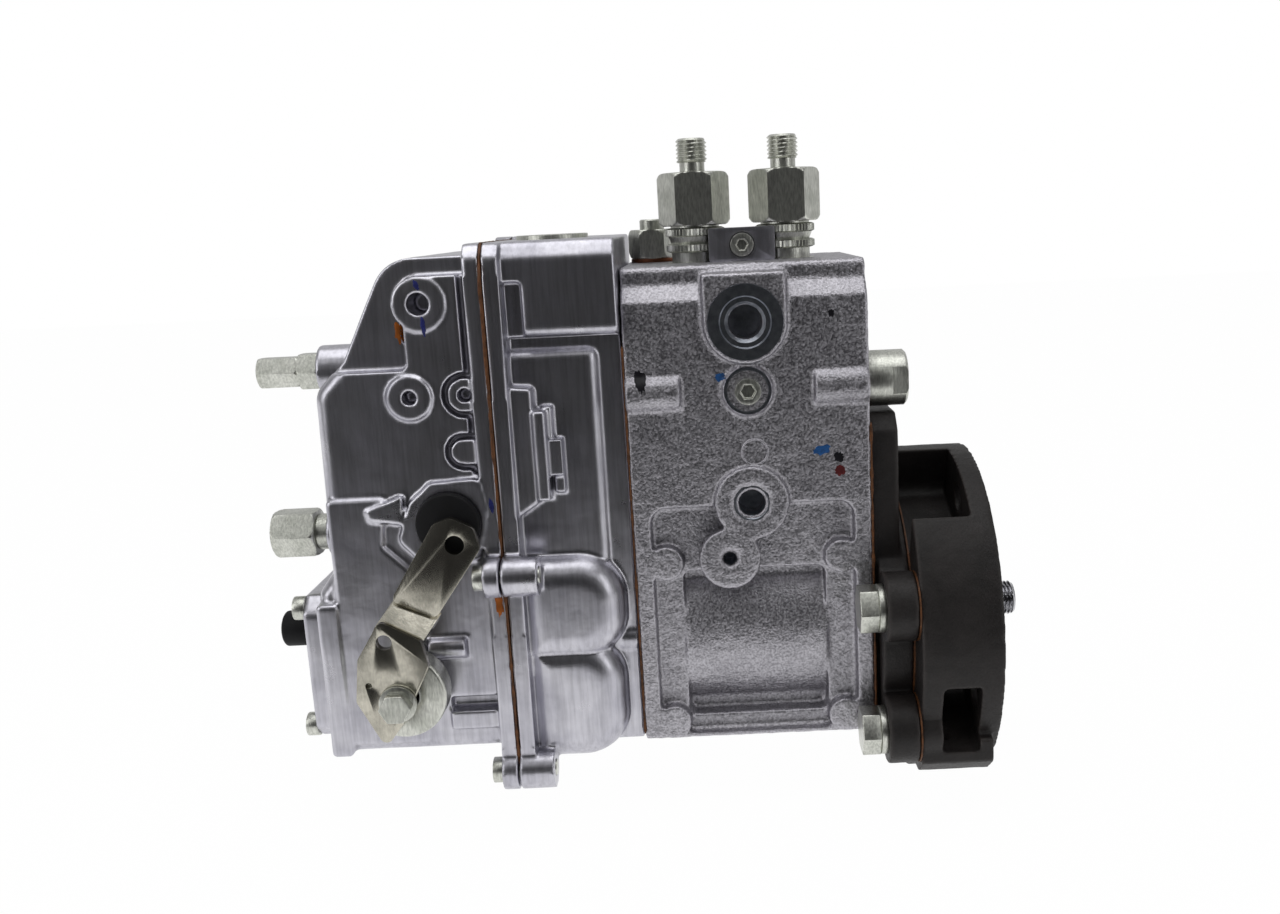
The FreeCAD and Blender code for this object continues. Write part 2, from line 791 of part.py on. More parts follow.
def cam(x, turn):
    """A tangent cam: base circle, nose circle and the two flats that touch both."""
    reach = "(base_circle_radius + cam_lift - cam_nose_radius)"
    along = f"((base_circle_radius - cam_nose_radius) / {reach})"
    rise = f"sqrt(1 - {along} * {along})"
    start = f"{x} - cam_width / 2"
    base = cylinder((start, 0, 0), "x", "base_circle_radius", "cam_width")
    # The outline is drawn with the nose up and turned to its place
    flanks = plate("x", start, [
        (0, 0),
        (f"-base_circle_radius * {rise}", f"base_circle_radius * {along}"),
        (f"-cam_nose_radius * {rise}", f"{reach} + cam_nose_radius * {along}"),
        (f"cam_nose_radius * {rise}", f"{reach} + cam_nose_radius * {along}"),
        (f"base_circle_radius * {rise}", f"base_circle_radius * {along}"),
    ], "cam_width")
    nose = cylinder((start, 0, 0), "x", "cam_nose_radius", "cam_width")
    # +X turns Z towards -Y
    angle = math.radians(turn)
    flanks.Placement = Placement(Vector(), Rotation(Vector(1, 0, 0), turn) * FRAMES["x"])
    bind(flanks, "Placement.Base.x", start)
    bind(nose, "Placement.Base.y", f"-{reach} * {round(math.sin(angle), 9)}")
    bind(nose, "Placement.Base.z", f"{reach} * {round(math.cos(angle), 9)}")
    return fused(base, flanks, nose)


def key_box(width, grow):
    return block(
        (f"-taper_end_inset - taper_length + 5 - {grow}", f"-({width}) / 2", f"taper_small_radius - 2 - {grow}"),
        (f"key_length + {2 * grow}", width, f"2 + key_stand + {4 * grow}"),
    )


def bearings():
    """Tapered bearings at both ends: outer races in the castings, inner rings on the shaft."""
    outer, inner = [], []
    for start, lean in (
        (f"({HOUSING_LEFT} + 1)", 1),
        (f"({HOUSING_RIGHT} - bearing_width + 0.6)", -1),
    ):
        wide = "bearing_outer_radius - 2"
        slim = "bearing_outer_radius - 4.5"
        first, last = (wide, slim) if lean > 0 else (slim, wide)
        outer.append(turned((start, 0, 0), "x", [
            (first, 0),
            ("bearing_outer_radius", 0),
            ("bearing_outer_radius", "bearing_width"),
            (last, "bearing_width"),
        ]))
        inner.append(turned((start, 0, 0), "x", [
            ("bearing_bore_radius + seat_fit", 0),
            (f"{first} - 0.35", 0),
            (f"{last} - 0.35", "bearing_width"),
            ("bearing_bore_radius + seat_fit", "bearing_width"),
        ]))
    node("bearing_outer_races", group(*outer))
    node("bearing_inner_rings", group(*inner))


def pumping_elements():
    """Tappets with rollers and pins, plungers, control sleeves, spring seats and springs."""
    springs, uppers = [], []
    for i, x in enumerate(CYLINDERS, start=1):
        bottom = f"({ROLLER_HEIGHT} - tappet_skirt)"
        slot = block(
            (f"{x} - roller_width / 2 - 0.25", "-roller_radius - 0.5", f"{bottom} - 1"),
            ("roller_width + 0.5", "2 * roller_radius + 1", "tappet_skirt + 1 + roller_radius + 0.5"),
        )
        pin_start = f"{x} - tappet_radius + 1"
        pin_at = (pin_start, 0, ROLLER_HEIGHT)
        body = cut(
            cylinder((x, 0, bottom), "z", "tappet_radius", "tappet_length"),
            slot,
            cylinder(
                (f"{pin_start} - 2", 0, ROLLER_HEIGHT), "x",
                "roller_pin_radius + seat_fit", "2 * tappet_radius + 2",
            ),
        )
        pin = cylinder(pin_at, "x", "roller_pin_radius", "2 * tappet_radius - 2")
        node(f"tappet_{i}", group(body, pin))
        roller_at = (f"{x} - roller_width / 2", 0, ROLLER_HEIGHT)
        node(f"tappet_roller_{i}", turned(roller_at, "x", [
            ("roller_pin_radius + running_fit", 0),
            ("roller_radius - 0.5", 0),
            ("roller_radius", 0.5),
            ("roller_radius", "roller_width - 0.5"),
            ("roller_radius - 0.5", "roller_width"),
            ("roller_pin_radius + running_fit", "roller_width"),
        ]))
        plunger = turned((x, 0, TAPPET_TOP), "z", [
            (0, 0),
            ("plunger_foot_radius", 0),
            ("plunger_foot_radius", "plunger_foot_height"),
            ("plunger_radius", "plunger_foot_height"),
            ("plunger_radius", "plunger_length"),
            (0, "plunger_length"),
        ])
        seat = turned((x, 0, TAPPET_TOP), "z", [
            ("plunger_foot_radius + seat_fit", 0),
            ("spring_seat_radius", 0),
            ("spring_seat_radius", "spring_seat_thick"),
            ("plunger_foot_radius + seat_fit", "spring_seat_thick"),
        ])
        node(f"plunger_{i}", group(plunger, seat))
        low = f"({TAPPET_TOP} + spring_seat_thick + 0.2)"
        springs.append(helix(
            (x, 0, low), "z", "plunger_spring_radius", "plunger_spring_wire",
            f"(upper_seat_height - 0.2 - {low})", 5,
        ))
        uppers.append(cut(
            cylinder((x, 0, "upper_seat_height"), "z", "tappet_radius - 0.1", "spring_seat_thick"),
            cylinder((x, 0, "upper_seat_height - 1"), "z", "plunger_radius + 1", "5"),
        ))
        control_sleeve(i, x)
    node("plunger_springs", group(*springs))
    node("upper_spring_seats", group(*uppers))


def control_sleeve(i, x):
    """The sleeve that turns on the barrel, with the ball arm that the rack moves."""
    bottom = "(upper_seat_height + spring_seat_thick + 0.3)"
    tube = turned((x, 0, bottom), "z", [
        ("barrel_radius + running_fit", "barrel_bottom - upper_seat_height - spring_seat_thick - 0.6"),
        ("plunger_radius + 1", "barrel_bottom - upper_seat_height - spring_seat_thick - 1"),
        ("plunger_radius + 1", 0),
        ("sleeve_radius", 0),
        ("sleeve_radius", "sleeve_height + 4"),
        ("barrel_radius + running_fit", "sleeve_height + 4"),
    ])
    arm = cylinder((x, "-sleeve_radius + 1", "rack_height"), "y", "arm_radius", "arm_reach - sleeve_radius - 1")
    knob = ball((x, "-arm_reach", "rack_height"), "ball_radius")
    node(f"control_sleeve_{i}", fused(tube, arm, knob))


def control_rack():
    """The round rack with a slot for each sleeve's ball and the flattened tail with its slot."""
    start = f"({HOUSING_LEFT} - rack_tail)"
    bar = cylinder(
        (start, "-rack_forward", "rack_height"), "x", "rack_radius", "rack_tail + housing_length"
    )
    slots = []
    for x in CYLINDERS:
        slots.append(block(
            (f"{x} - ball_radius - 0.5", "-rack_forward + 0.6", "rack_height - rack_radius - 1"),
            ("2 * ball_radius + 1", "rack_radius + 1", "2 * rack_radius + 2"),
        ))
    node("control_rack", cut(bar, *slots))
    # The link runs from the rack's tail to the tension lever's top pin
    link = plate("y", "-rack_forward + 2", rectangle(
        f"{TENSION_X} - 6", "rack_height - 6", f"{start} - 0.3 + 0.3", "rack_height + 6"
    ), "4", corner="2")
    eye = plate("y", "-rack_forward + 3", rectangle(
        f"{TENSION_X} - 2.4", "rack_height - 4", f"{TENSION_X} + 2.4", "rack_height + 3.4"
    ), "6")
    node("rack_link", cut(link, eye))


# Drive end


def bearing_plate():
    """The dark cast plate that closes the housing, with ears for the adapter bolts."""
    outline = [
        ("-plate_half_width", "-housing_bottom"),
        ("plate_half_width - 3", "-housing_bottom"),
        ("plate_half_width - 3", "plate_top"),
        ("-plate_half_width + 6", "plate_top"),
        ("-plate_half_width", "plate_top - 6"),
    ]
    base = plate("x", PLATE_LEFT, outline, "plate_thick", corner="3")
    ears = eared_flange(EAR_LEFT, "ear_thick")
    spigot = cylinder(
        (f"{HOUSING_RIGHT} - bearing_width", 0, 0), "x", "cam_chamber_radius - seat_fit",
        "bearing_width + gasket_thick + 1",
    )
    bore = [
        cylinder(
            (f"{HOUSING_RIGHT} - bearing_width - 1", 0, 0), "x", "bearing_outer_radius + seat_fit",
            "bearing_width + 1.62",
        ),
        cylinder((f"{PLATE_LEFT} - 1", 0, 0), "x", "seal_radius + seat_fit", "plate_depth + 5"),
    ]
    holes = ear_holes(EAR_LEFT, "ear_bolt_radius + seat_fit", "ear_thick + 2")
    node("bearing_plate", cut(fused(base, ears, spigot), *bore, *holes))
    gaskets.append(cut(
        plate("x", HOUSING_RIGHT, outline, "gasket_thick", corner="3"),
        cylinder((f"{HOUSING_RIGHT} - 1", 0, 0), "x", "cam_chamber_radius + 0.1", "3"),
    ))
    node("shaft_seal", turned((f"{PLATE_LEFT} + 1.2", 0, 0), "x", [
        ("shaft_radius + 0.3", 0),
        ("seal_radius", 0),
        ("seal_radius", "seal_width"),
        ("seal_radius - 2", "seal_width"),
        ("seal_radius - 3", 2),
        ("shaft_radius + 2", 2),
        ("shaft_radius + 0.3", 4),
    ]))


def ear_places():
    return [
        (side, height)
        for side in ("-ear_forward", "ear_forward")
        for height in ("ear_upper_height", "-ear_lower_height")
    ]


def eared_flange(start, thick):
    """A round flange with a rounded ear at each bolt."""
    parts = [cylinder((start, 0, 0), "x", "plate_half_width + 11", thick)]
    for side, height in ear_places():
        parts.append(cylinder((start, f"{side} * 0.98", height), "x", "ear_radius", thick))
    return fused(*parts)


def ear_holes(start, radius, length):
    return [
        cylinder((f"{start} - 1", side, height), "x", radius, length) for side, height in ear_places()
    ]


def engine_adapter():
    """The dark cast drum between the pump and the engine, with four bolt pockets and a flat foot."""
    back = "-adapter_length"
    drum = cylinder((back, 0, 0), "x", "adapter_radius", "adapter_length")
    foot = plate("x", back, [
        ("-foot_half_width", "-foot_depth + 16"),
        ("-foot_half_width", "-foot_depth + 7"),
        ("-foot_half_width + 9", "-foot_depth"),
        ("foot_half_width - 9", "-foot_depth"),
        ("foot_half_width", "-foot_depth + 7"),
        ("foot_half_width", "-foot_depth + 16"),
    ], "adapter_length - 3", corner="1")
    ears = [
        cylinder((back, side, "-ear_lower_height"), "x", "ear_radius - 3", "adapter_flange_thick")
        for side in ("-ear_forward", "ear_forward")
    ]
    cuts = [cylinder((f"{back} - 1", 0, 0), "x", "adapter_bore_radius", "adapter_length + 2")]
    for quarter in range(4):
        angle = f"(bolt_circle_turn + {90 * quarter})"
        y = f"-bolt_circle_radius * cos({angle} * 1 deg)"
        z = f"bolt_circle_radius * sin({angle} * 1 deg)"
        cuts.append(cylinder(("-adapter_rim - 1", y, z), "x", "bolt_hole_radius", "adapter_rim + 2"))
        if quarter == 0:
            cuts.append(bolt_pocket(angle, "upper_pocket_width", "-1"))
        else:
            cuts.append(bolt_pocket(angle, "pocket_width", "adapter_flange_thick"))
    cuts += ear_holes(back, "ear_bolt_radius + seat_fit", "adapter_flange_thick + 5")
    node("engine_adapter", cut(fused(drum, foot, *ears), *cuts))
    gaskets.append(cut(
        eared_flange(f"{back} - gasket_thick", "gasket_thick"),
        cylinder((f"{back} - 3", 0, 0), "x", "adapter_bore_radius", "6"),
        *ear_holes(f"{back} - 2", "ear_bolt_radius + 0.3", "5"),
    ))


def bolt_pocket(angle, width, wall):
    """A pocket open to the outside, where the nut of one engine stud is reached."""
    corners = []
    for across, out in (
        (f"-{width} / 2", "adapter_bore_radius + 9"), (f"{width} / 2", "adapter_bore_radius + 9"),
        (f"{width} / 2", "adapter_radius + 8"), (f"-{width} / 2", "adapter_radius + 8"),
    ):
        corners.append((
            f"{across} * sin({angle} * 1 deg) - ({out}) * cos({angle} * 1 deg)",
            f"{across} * cos({angle} * 1 deg) + ({out}) * sin({angle} * 1 deg)",
        ))
    return plate(
        "x", f"-adapter_length + {wall}", corners, f"adapter_length - ({wall}) - adapter_rim", corner="5"
    )


def adapter_bolts():
    """Four hexagon bolts and their washers, through the plate's ears into the adapter."""
    bolts, washers = [], []
    for side, height in ear_places():
        seat = f"({EAR_LEFT} - washer_thick)"
        bolts.append(fused(
            hexagon((f"{seat} - ear_bolt_head", side, height), "x", "ear_bolt_across", "ear_bolt_head"),
            cylinder((f"{seat} - 0.5", side, height), "x", "ear_bolt_radius",
                     "washer_thick + ear_thick + gasket_thick + adapter_flange_thick + 0.5"),
        ))
        washers.append(cut(
            cylinder((seat, side, height), "x", "washer_radius", "washer_thick"),
            cylinder((f"{seat} - 1", side, height), "x", "ear_bolt_radius + seat_fit", "washer_thick + 2"),
        ))
    node("adapter_bolts", group(*bolts))
    node("adapter_bolt_washers", group(*washers))


# Governor housing, cover and end cover


def flange_outline():
    wide = "(governor_half_width + flange_lip)"
    return [
        (f"-{wide}", "-governor_bottom + 8"),
        (f"-{wide} + 10", "-governor_bottom - 3"),
        (f"{wide} - 10", "-governor_bottom - 3"),
        (wide, "-governor_bottom + 8"),
        (wide, "governor_top - 12"),
        (f"{wide} - 12", "governor_top"),
        (f"-{wide} + 8", "governor_top"),
        (f"-{wide} + 3", "governor_top - 5"),
    ]


def flange_bolt_places():
    wide = "(governor_half_width + flange_lip + 2)"
    return [
        (f"-{wide}", "36"),
        (f"-{wide} + 6", "-governor_bottom + 4"),
        (wide, "36"),
        (f"{wide} - 6", "-governor_bottom + 4"),
        ("30", "governor_top + 1"),
    ]


def lugs(start, length):
    return [cylinder((start, y, z), "x", "7.5", length) for y, z in flange_bolt_places()]


def governor_flange(start, thick, lug_start, lug_length):
    return [plate("x", start, flange_outline(), thick, corner="4")] + lugs(lug_start, lug_length)


def governor_cavity():
    """The round chamber for the weights and the tall one for the levers above it."""
    start = f"({GOVERNOR_LEFT} - 1)"
    side = "(middle_block_front - governor_wall)"
    return [
        cylinder((start, 0, 0), "x", "weight_chamber_radius", "governor_length - dome_end"),
        plate("x", start, rectangle(
            f"-{side}", "0", side, "governor_top - governor_wall"
        ), "governor_length + 1 - governor_wall", corner="4"),
        cylinder((f"{GOVERNOR_RIGHT} - dome_end - 5", 0, 0), "x", "cam_chamber_radius", "dome_end + 20"),
    ]


def governor_housing():
    """The die-cast middle casting: box at the top, stepped block, and the lobed dome round the weights."""
    right = GOVERNOR_RIGHT
    inner = f"({GOVERNOR_LEFT} + flange_thick - 1)"
    span = f"({right} - {inner})"
    top_box = cut(
        plate("x", inner, [
            ("-governor_half_width + 2", "shelf_height"),
            ("governor_half_width - 8", "shelf_height"),
            ("governor_half_width - 8", "governor_top"),
            ("-governor_half_width + 6", "governor_top"),
            ("-governor_half_width + 2", "governor_top - 6"),
        ], span, corner="4"),
        # the lower left corner of its front steps back
        plate("y", "-governor_half_width + 6", rectangle(
            f"{inner} - 2", "shelf_height - 5", f"{inner} + 8", "governor_top - 14"
        ), "20", corner="1.5"),
    )
    front = plate("y", "middle_block_front - 6", rectangle(
        f"{inner} - 2", "-4", f"{right} - neck_length", "shelf_height - 4"
    ), "2 * middle_block_front - 6", corner="4", rim="5")
    neck = plate("x", inner, rectangle(
        "-neck_front", "-housing_bottom", "governor_half_width - 8", "shelf_height + 1"
    ), span, corner="3")
    barrel = turned((inner, 0, 0), "x", [
        (0, 0),
        ("governor_bottom + 2", 0),
        ("governor_bottom + 2", f"{span} - neck_length - 8"),
        ("governor_bottom - 2", f"{span} - neck_length - 2"),
        ("governor_bottom - 9", f"{span} - neck_length"),
        (0, f"{span} - neck_length"),
    ])
    lobes = [
        plate("y", "-20", rectangle(f"{inner} - 2", low, f"{right} - {reach}", high),
              f"{face} - 20", rounds={1: "17.5", 2: "17.5"}, rim="11")
        for low, high, reach, face in (("-1.5", "40", "3.5", "51"), ("-governor_bottom + 5", "8", "5", "50"))
    ]
    # the camshaft's tunnel shows between the lobes and the joint
    tunnel = cylinder((f"{right} - neck_length - 2", "-neck_front + 4", "4"), "x", "5.5", "neck_length + 2")
    flange = governor_flange(GOVERNOR_LEFT, "flange_thick", GOVERNOR_LEFT, "13")
    plug_at = (f"{GOVERNOR_LEFT} + 21", "-12")
    rack_way = cylinder((f"{right} - 10", "-rack_forward", "rack_height"), "x", "rack_radius + 1.5", "30")
    plug_bore = cylinder((*plug_at, "governor_top - 12"), "z", "top_plug_radius + seat_fit", "30")
    node("governor_housing", cut(
        fused(top_box, front, neck, barrel, tunnel, *lobes, *side_boss(), *flange),
        *governor_cavity(), rack_way, plug_bore, *bolt_bores(f"{GOVERNOR_LEFT} - 1"),
    ))
    top_plug(plug_at)


def side_boss():
    """The flat pad beside the joint and the stepped bosses at its edge."""
    left = f"{GOVERNOR_LEFT} + flange_thick - 1"
    edge = f"{GOVERNOR_LEFT} + 14"
    pad = plate("y", "-middle_block_front + 1", [
        (left, "55"),
        (f"{GOVERNOR_LEFT} + 8", "57"),
        (f"{GOVERNOR_LEFT} + 17", "63"),
        (edge, "70"),
        (edge, "103"),
        (left, "104"),
    ], "7.5", corner="1.2", rim="1.2")
    steps = [
        block((f"{GOVERNOR_LEFT} + {start}", f"-{front}", low), (length, f"{front} - 40", height))
        for start, length, low, height, front in (
            ("14", "4.5", "62", "33", "51"), ("17", "6.5", "71", "13", "49"),
            ("17", "3.5", "82", "14", "47"), ("20", "3.5", "64", "18", "46.5"),
        )
    ]
    return [pad, *steps]


def top_plug(plug_at):
    """The round metal plug in the housing's top."""
    node("governor_top_plug", turned((*plug_at, "governor_top - 7"), "z", [
        (0, 0),
        ("top_plug_radius", 0),
        ("top_plug_radius", 8.6),
        ("top_plug_radius - 3", 8.6),
        ("top_plug_radius - 4", 7.4),
        (0, 7.4),
    ]))


def bolt_bores(start):
    return [
        cylinder((start, y, z), "x", "cap_screw_radius + seat_fit", "40") for y, z in flange_bolt_places()
    ]


def cover_side_outline(inset):
    """The cover seen from the front: sloping crown, long left side and level bottom."""
    left = f"({COVER_LEFT} + {inset})"
    top = f"(governor_top - 4 - {inset})"
    right = f"({COVER_RIGHT} + {inset if inset == 0 else 1})"
    return [
        (right, f"-cover_bottom + {inset}"),
        (right, top),
        (f"{COVER_RIGHT} - cover_crown + {inset}", top),
        (f"{left} + 17", f"{top} - 36"),
        (f"{left} + 7", f"{top} - 46"),
        (f"{left} + 6", f"{top} - 113"),
        (left, f"{top} - 121"),
        (left, f"-cover_bottom + {inset}"),
    ]


def pad_outline(low, high, reach, grow=0):
    """A pad that runs from the flange to the left, with a round end."""
    return rectangle(
        f"{COVER_RIGHT} - {reach} - {grow}", f"{low} - {grow}",
        f"{COVER_RIGHT} - 1", f"{high} + {grow}",
    )


# Height from, height to and reach of the two pads that join the cover's flange
JOINT_PADS = ((96, 108, 15), (77, 86, 15.5))


def joint_relief():
    """The groove between the cover's face and its flange, which runs round both pads."""
    floor = "-cover_front + 4"
    cuts = [block(
        (f"{COVER_RIGHT} - flange_thick - 2.4", "-cover_front - 9", "73"),
        ("2.4 + flange_thick", "13", "governor_top - 10.5 - 73"),
    )]
    for low, high, reach in JOINT_PADS:
        round_end = f"{(high - low) / 2 + 2.1}"
        cuts.append(plate(
            "y", floor, pad_outline(low, high, reach, 2.2), "20", rounds={0: round_end, 3: round_end}
        ))
    return cuts


def joint_pads():
    pads = []
    for low, high, reach in JOINT_PADS:
        round_end = f"{(high - low) / 2 - 0.1}"
        pads.append(plate(
            "y", "-cover_front + 5", pad_outline(low, high, reach), "5.6",
            rounds={0: round_end, 3: round_end},
        ))
    return pads


def lower_front():
    """The lower front that stands proud, the frame at the end cover, a leaf and a ledge."""
    left = f"({COVER_LEFT} + 7.5)"
    return [
        plate("y", "-cover_front + 3", [
            (left, "-cover_bottom + 4"),
            (f"{COVER_RIGHT} - 33", "-cover_bottom + 4"),
            (f"{COVER_RIGHT} - 33", "38"),
            (f"{COVER_RIGHT} - 43", "48"),
            (f"{COVER_RIGHT} - 41", "66"),
            (left, "66"),
        ], "4.8", corner="1.5", rim="1.4"),
        plate("y", "-cover_front + 6", rectangle(
            COVER_LEFT, "-cover_bottom", f"{COVER_LEFT} + 8", "27"
        ), "9", corner="1.5", rim="1.4"),
        plate("y", "-cover_front + 2", [
            (f"{COVER_RIGHT} - 47", "58"),
            (f"{COVER_RIGHT} - 35", "56"),
            (f"{COVER_RIGHT} - 34", "67"),
            (f"{COVER_RIGHT} - 48", "62"),
        ], "5", corner="0.8", rim="0.8"),
        block((f"{COVER_RIGHT} - 24", "-cover_front - 2", "-24"), ("22", "8", "7")),
    ]


def governor_cover():
    """The die-cast cover: outline of the side view, stepped front, bosses for plug and screws."""
    deep = "(cover_front + governor_half_width - 6)"
    slab = plate(
        "y", "governor_half_width - 6", cover_side_outline(0), deep,
        rounds={2: "16", 3: "4", 4: "9", 6: "6", 7: "6"}, rim="5",
    )
    edge = f"({COVER_RIGHT} - 28.6)"
    above = plate("y", "-cover_upper_front", [
        (f"{COVER_LEFT} - 5", "cover_step_height + 1.5"),
        (edge, "cover_step_height + 1.5"),
        (edge, "governor_top - 10.5"),
        (f"{COVER_RIGHT} + 5", "governor_top - 10.5"),
        (f"{COVER_RIGHT} + 5", "governor_top + 20"),
        (f"{COVER_LEFT} - 5", "governor_top + 20"),
    ], "40", rounds={1: "3", 2: "8"})
    slot = block((f"{edge} - 2.6", "-cover_upper_front - 1", "121"), ("2.6", "5.5", "7.5"))
    relief = joint_relief()
    lower_slot = block((f"{COVER_RIGHT} - 24", "-cover_front - 1", "-17"), ("18", "5", "5"))
    chin = cylinder((f"{COVER_RIGHT} - 26", 0, 0), "x", "governor_bottom - 3", "26")
    shell = cut(slab, above, slot, lower_slot, *relief)
    pads = [
        # keyhole boss near the top, the left screw boss, and the pads that join the flange
        cylinder((f"{COVER_RIGHT} - 22.5", "-cover_upper_front + 2", "135"), "y", "9.5", "10"),
        cylinder((f"{COVER_RIGHT} - 28.5", "-cover_front + 2", "102"), "y", "8", "3.6"),
        *joint_pads(),
        *lower_front(),
        plate("y", "-cover_front + 2", [
            (f"{COVER_RIGHT} - 37", "50"),
            (f"{COVER_RIGHT} - 28", "40"),
            (f"{COVER_RIGHT} - 8", "42"),
            (f"{COVER_RIGHT} - 4", "60"),
            (f"{COVER_RIGHT} - 6", "72"),
            (f"{COVER_RIGHT} - 24", "71"),
            (f"{COVER_RIGHT} - 32", "64"),
        ], "5", corner="3"),
        cylinder((LEVER_X, "-cover_front + 2", "-lever_pivot_drop"), "y", "12", "6"),
        # finger-shaped rib below the lever's joggle
        cylinder((f"{COVER_RIGHT} - 30", "-cover_front", "8"), "x", "4", "14"),
        # bosses for the fittings on the left end
        cylinder((f"{COVER_LEFT} + 2", "-fitting_inset", "full_load_height"), "x", "9.5", "22"),
        cylinder((f"{COVER_LEFT} - 1", "-fitting_inset", "idle_height"), "x", "10", "16"),
    ]
    flange = governor_flange(f"{COVER_RIGHT} - flange_thick", "flange_thick", f"{COVER_RIGHT} - flange_thick", "flange_thick")
    hollow = fused(
        common(
            plate("y", "cover_front - governor_wall - 6", cover_side_outline("governor_wall"),
                  "2 * cover_front - 2 * governor_wall - 6"),
            block(
                (f"{COVER_LEFT} - 30", "-cover_upper_front + governor_wall", "-60"),
                ("cover_length + 60", "200", "300"),
            ),
        ),
        cylinder((f"{COVER_RIGHT} - 20", 0, 0), "x", "weight_chamber_radius - 4", "21"),
    )
    cuts = [
        hollow,
        # bores for the round plug, screws, lever shaft and fittings
        cylinder((f"{COVER_RIGHT} - 18", "-cover_front + 20", "56"), "y", "11", "40"),
        cylinder((f"{COVER_RIGHT} - 22.5", "-cover_upper_front + 5", "135"), "y", "3.8", "20"),
        cylinder((f"{COVER_RIGHT} - 28.5", "-cover_front + 5", "102"), "y", "2.5", "20"),
        cylinder((f"{COVER_RIGHT} - 9", "-cover_front + 5", "102"), "y", "2.5", "20"),
        cylinder((LEVER_X, "0", "-lever_pivot_drop"), "y", "lever_shaft_radius + running_fit", "90"),
        cylinder((f"{COVER_LEFT} - 5", "-fitting_inset", "full_load_height"), "x", "4 + seat_fit", "40"),
        cylinder((f"{COVER_LEFT} - 5", "-fitting_inset", "idle_height"), "x", "5 + seat_fit", "30"),
        cylinder((TENSION_X, "cover_front - 11", "tension_pivot_height"), "y",
                 "4 + running_fit", "2 * cover_front - 14"),
    ]
    cuts += bolt_bores(f"{COVER_RIGHT} - 20")
    cuts += [cylinder((f"{COVER_LEFT} - 1", y, z), "x", "2.5 + seat_fit", "14") for y, z in end_screw_places()]
    node("governor_cover", cut(fused(shell, chin, *pads, *flange), *cuts))


def end_screw_places():
    side = "(end_cover_half_width - 6)"
    return [
        (f"{sign}{side}", height)
        for sign in ("-", "")
        for height in ("end_cover_top - 5", "-end_cover_bottom + 5")
    ]


def end_cover():
    """The small cover on the governor's far end, its gasket and screws."""
    side = "end_cover_half_width"
    outline = [
        (f"-{side}", "-end_cover_bottom + 6"),
        (f"-{side} + 6", "-end_cover_bottom"),
        (f"{side} - 6", "-end_cover_bottom"),
        (side, "-end_cover_bottom + 6"),
        (side, "end_cover_top - 6"),
        (f"{side} - 6", "end_cover_top"),
        (f"-{side} + 6", "end_cover_top"),
        (f"-{side}", "end_cover_top - 6"),
    ]
    left = f"({END_RIGHT} - end_cover_thick)"
    slab = plate("x", left, outline, "end_cover_thick", corner="4")
    dish = plate("x", f"{left} - 1", rectangle("-30", "-20", "30", "17"), "3.5", corner="5")
    spigot = cylinder((f"{left} - 4", "-20", "shut_off_height"), "x", "8.5", "6")
    holes = [cylinder((f"{left} - 2", y, z), "x", "2.5 + seat_fit", "20") for y, z in end_screw_places()]
    cap_bore = cylinder((f"{left} - 5", "-20", "shut_off_height"), "x", "5 + seat_fit", "10")
    node("end_cover", cut(fused(cut(slab, dish), spigot), cap_bore, *holes))
    gaskets.append(cut(
        plate("x", END_RIGHT, outline, "gasket_thick", corner="4"),
        *[cylinder((f"{END_RIGHT} - 2", y, z), "x", "2.8", "6") for y, z in end_screw_places()],
    ))
    screws = []
    for y, z in end_screw_places():
        screws.append(cut(
            fused(
                cylinder((f"{left} - 4.5", y, z), "x", "4.5", "4.5"),
                cylinder((f"{left} - 1", y, z), "x", "2.5", "end_cover_thick + gasket_thick + 9"),
            ),
            hexagon((f"{left} - 5.5", y, z), "x", "4", "3.5"),
        ))
    node("end_cover_screws", group(*screws))
    node("shut_off_cap", turned((f"{left} - 4 - 12", "-20", "shut_off_height"), "x", [
        (0, 0),
        (5.5, 0),
        (7, 1),
        (7, 12),
        (5, 12),
        (5, 18),
        (0, 18),
    ]))


def governor_gaskets():
    middle = [
        ("-middle_block_front + 6", "-housing_bottom + 4"),
        ("housing_rear - 4", "-housing_bottom + 4"),
        ("housing_rear - 4", "shelf_height - 4"),
        ("-middle_block_front + 6", "shelf_height - 4"),
    ]
    gaskets.append(cut(
        plate("x", f"{GOVERNOR_LEFT} - gasket_thick", flange_outline(), "gasket_thick", corner="4"),
        plate("x", f"{GOVERNOR_LEFT} - 3", rectangle(
            "-governor_half_width + governor_wall + 2", "-governor_bottom + 12",
            "governor_half_width - governor_wall - 2", "governor_top - governor_wall - 6",
        ), "6", corner="12"),
        *bolt_bores(f"{GOVERNOR_LEFT} - 5"),
    ))
    gaskets.append(cut(
        plate("x", f"{HOUSING_LEFT} - gasket_thick", middle, "gasket_thick", corner="4"),
        cylinder((f"{HOUSING_LEFT} - 3", 0, 0), "x", "cam_chamber_radius", "6"),
        cylinder((f"{HOUSING_LEFT} - 3", "-rack_forward", "rack_height"), "x", "rack_radius + 1.5", "6"),
    ))


def governor_bolts():
    """Socket screws through the cover's lugs into the governor housing."""
    screws = []
    for y, z in flange_bolt_places():
        head = f"({COVER_RIGHT} - flange_thick - cap_head_height)"
        screws.append(cut(
            fused(
                cylinder((head, y, z), "x", "cap_head_radius", "cap_head_height"),
                cylinder((f"{head} + 1", y, z), "x", "cap_screw_radius", "cap_head_height + flange_thick + 13"),
            ),
            hexagon((f"{head} - 1", y, z), "x", "5", "3.5"),
        ))
    node("governor_bolts", group(*screws))


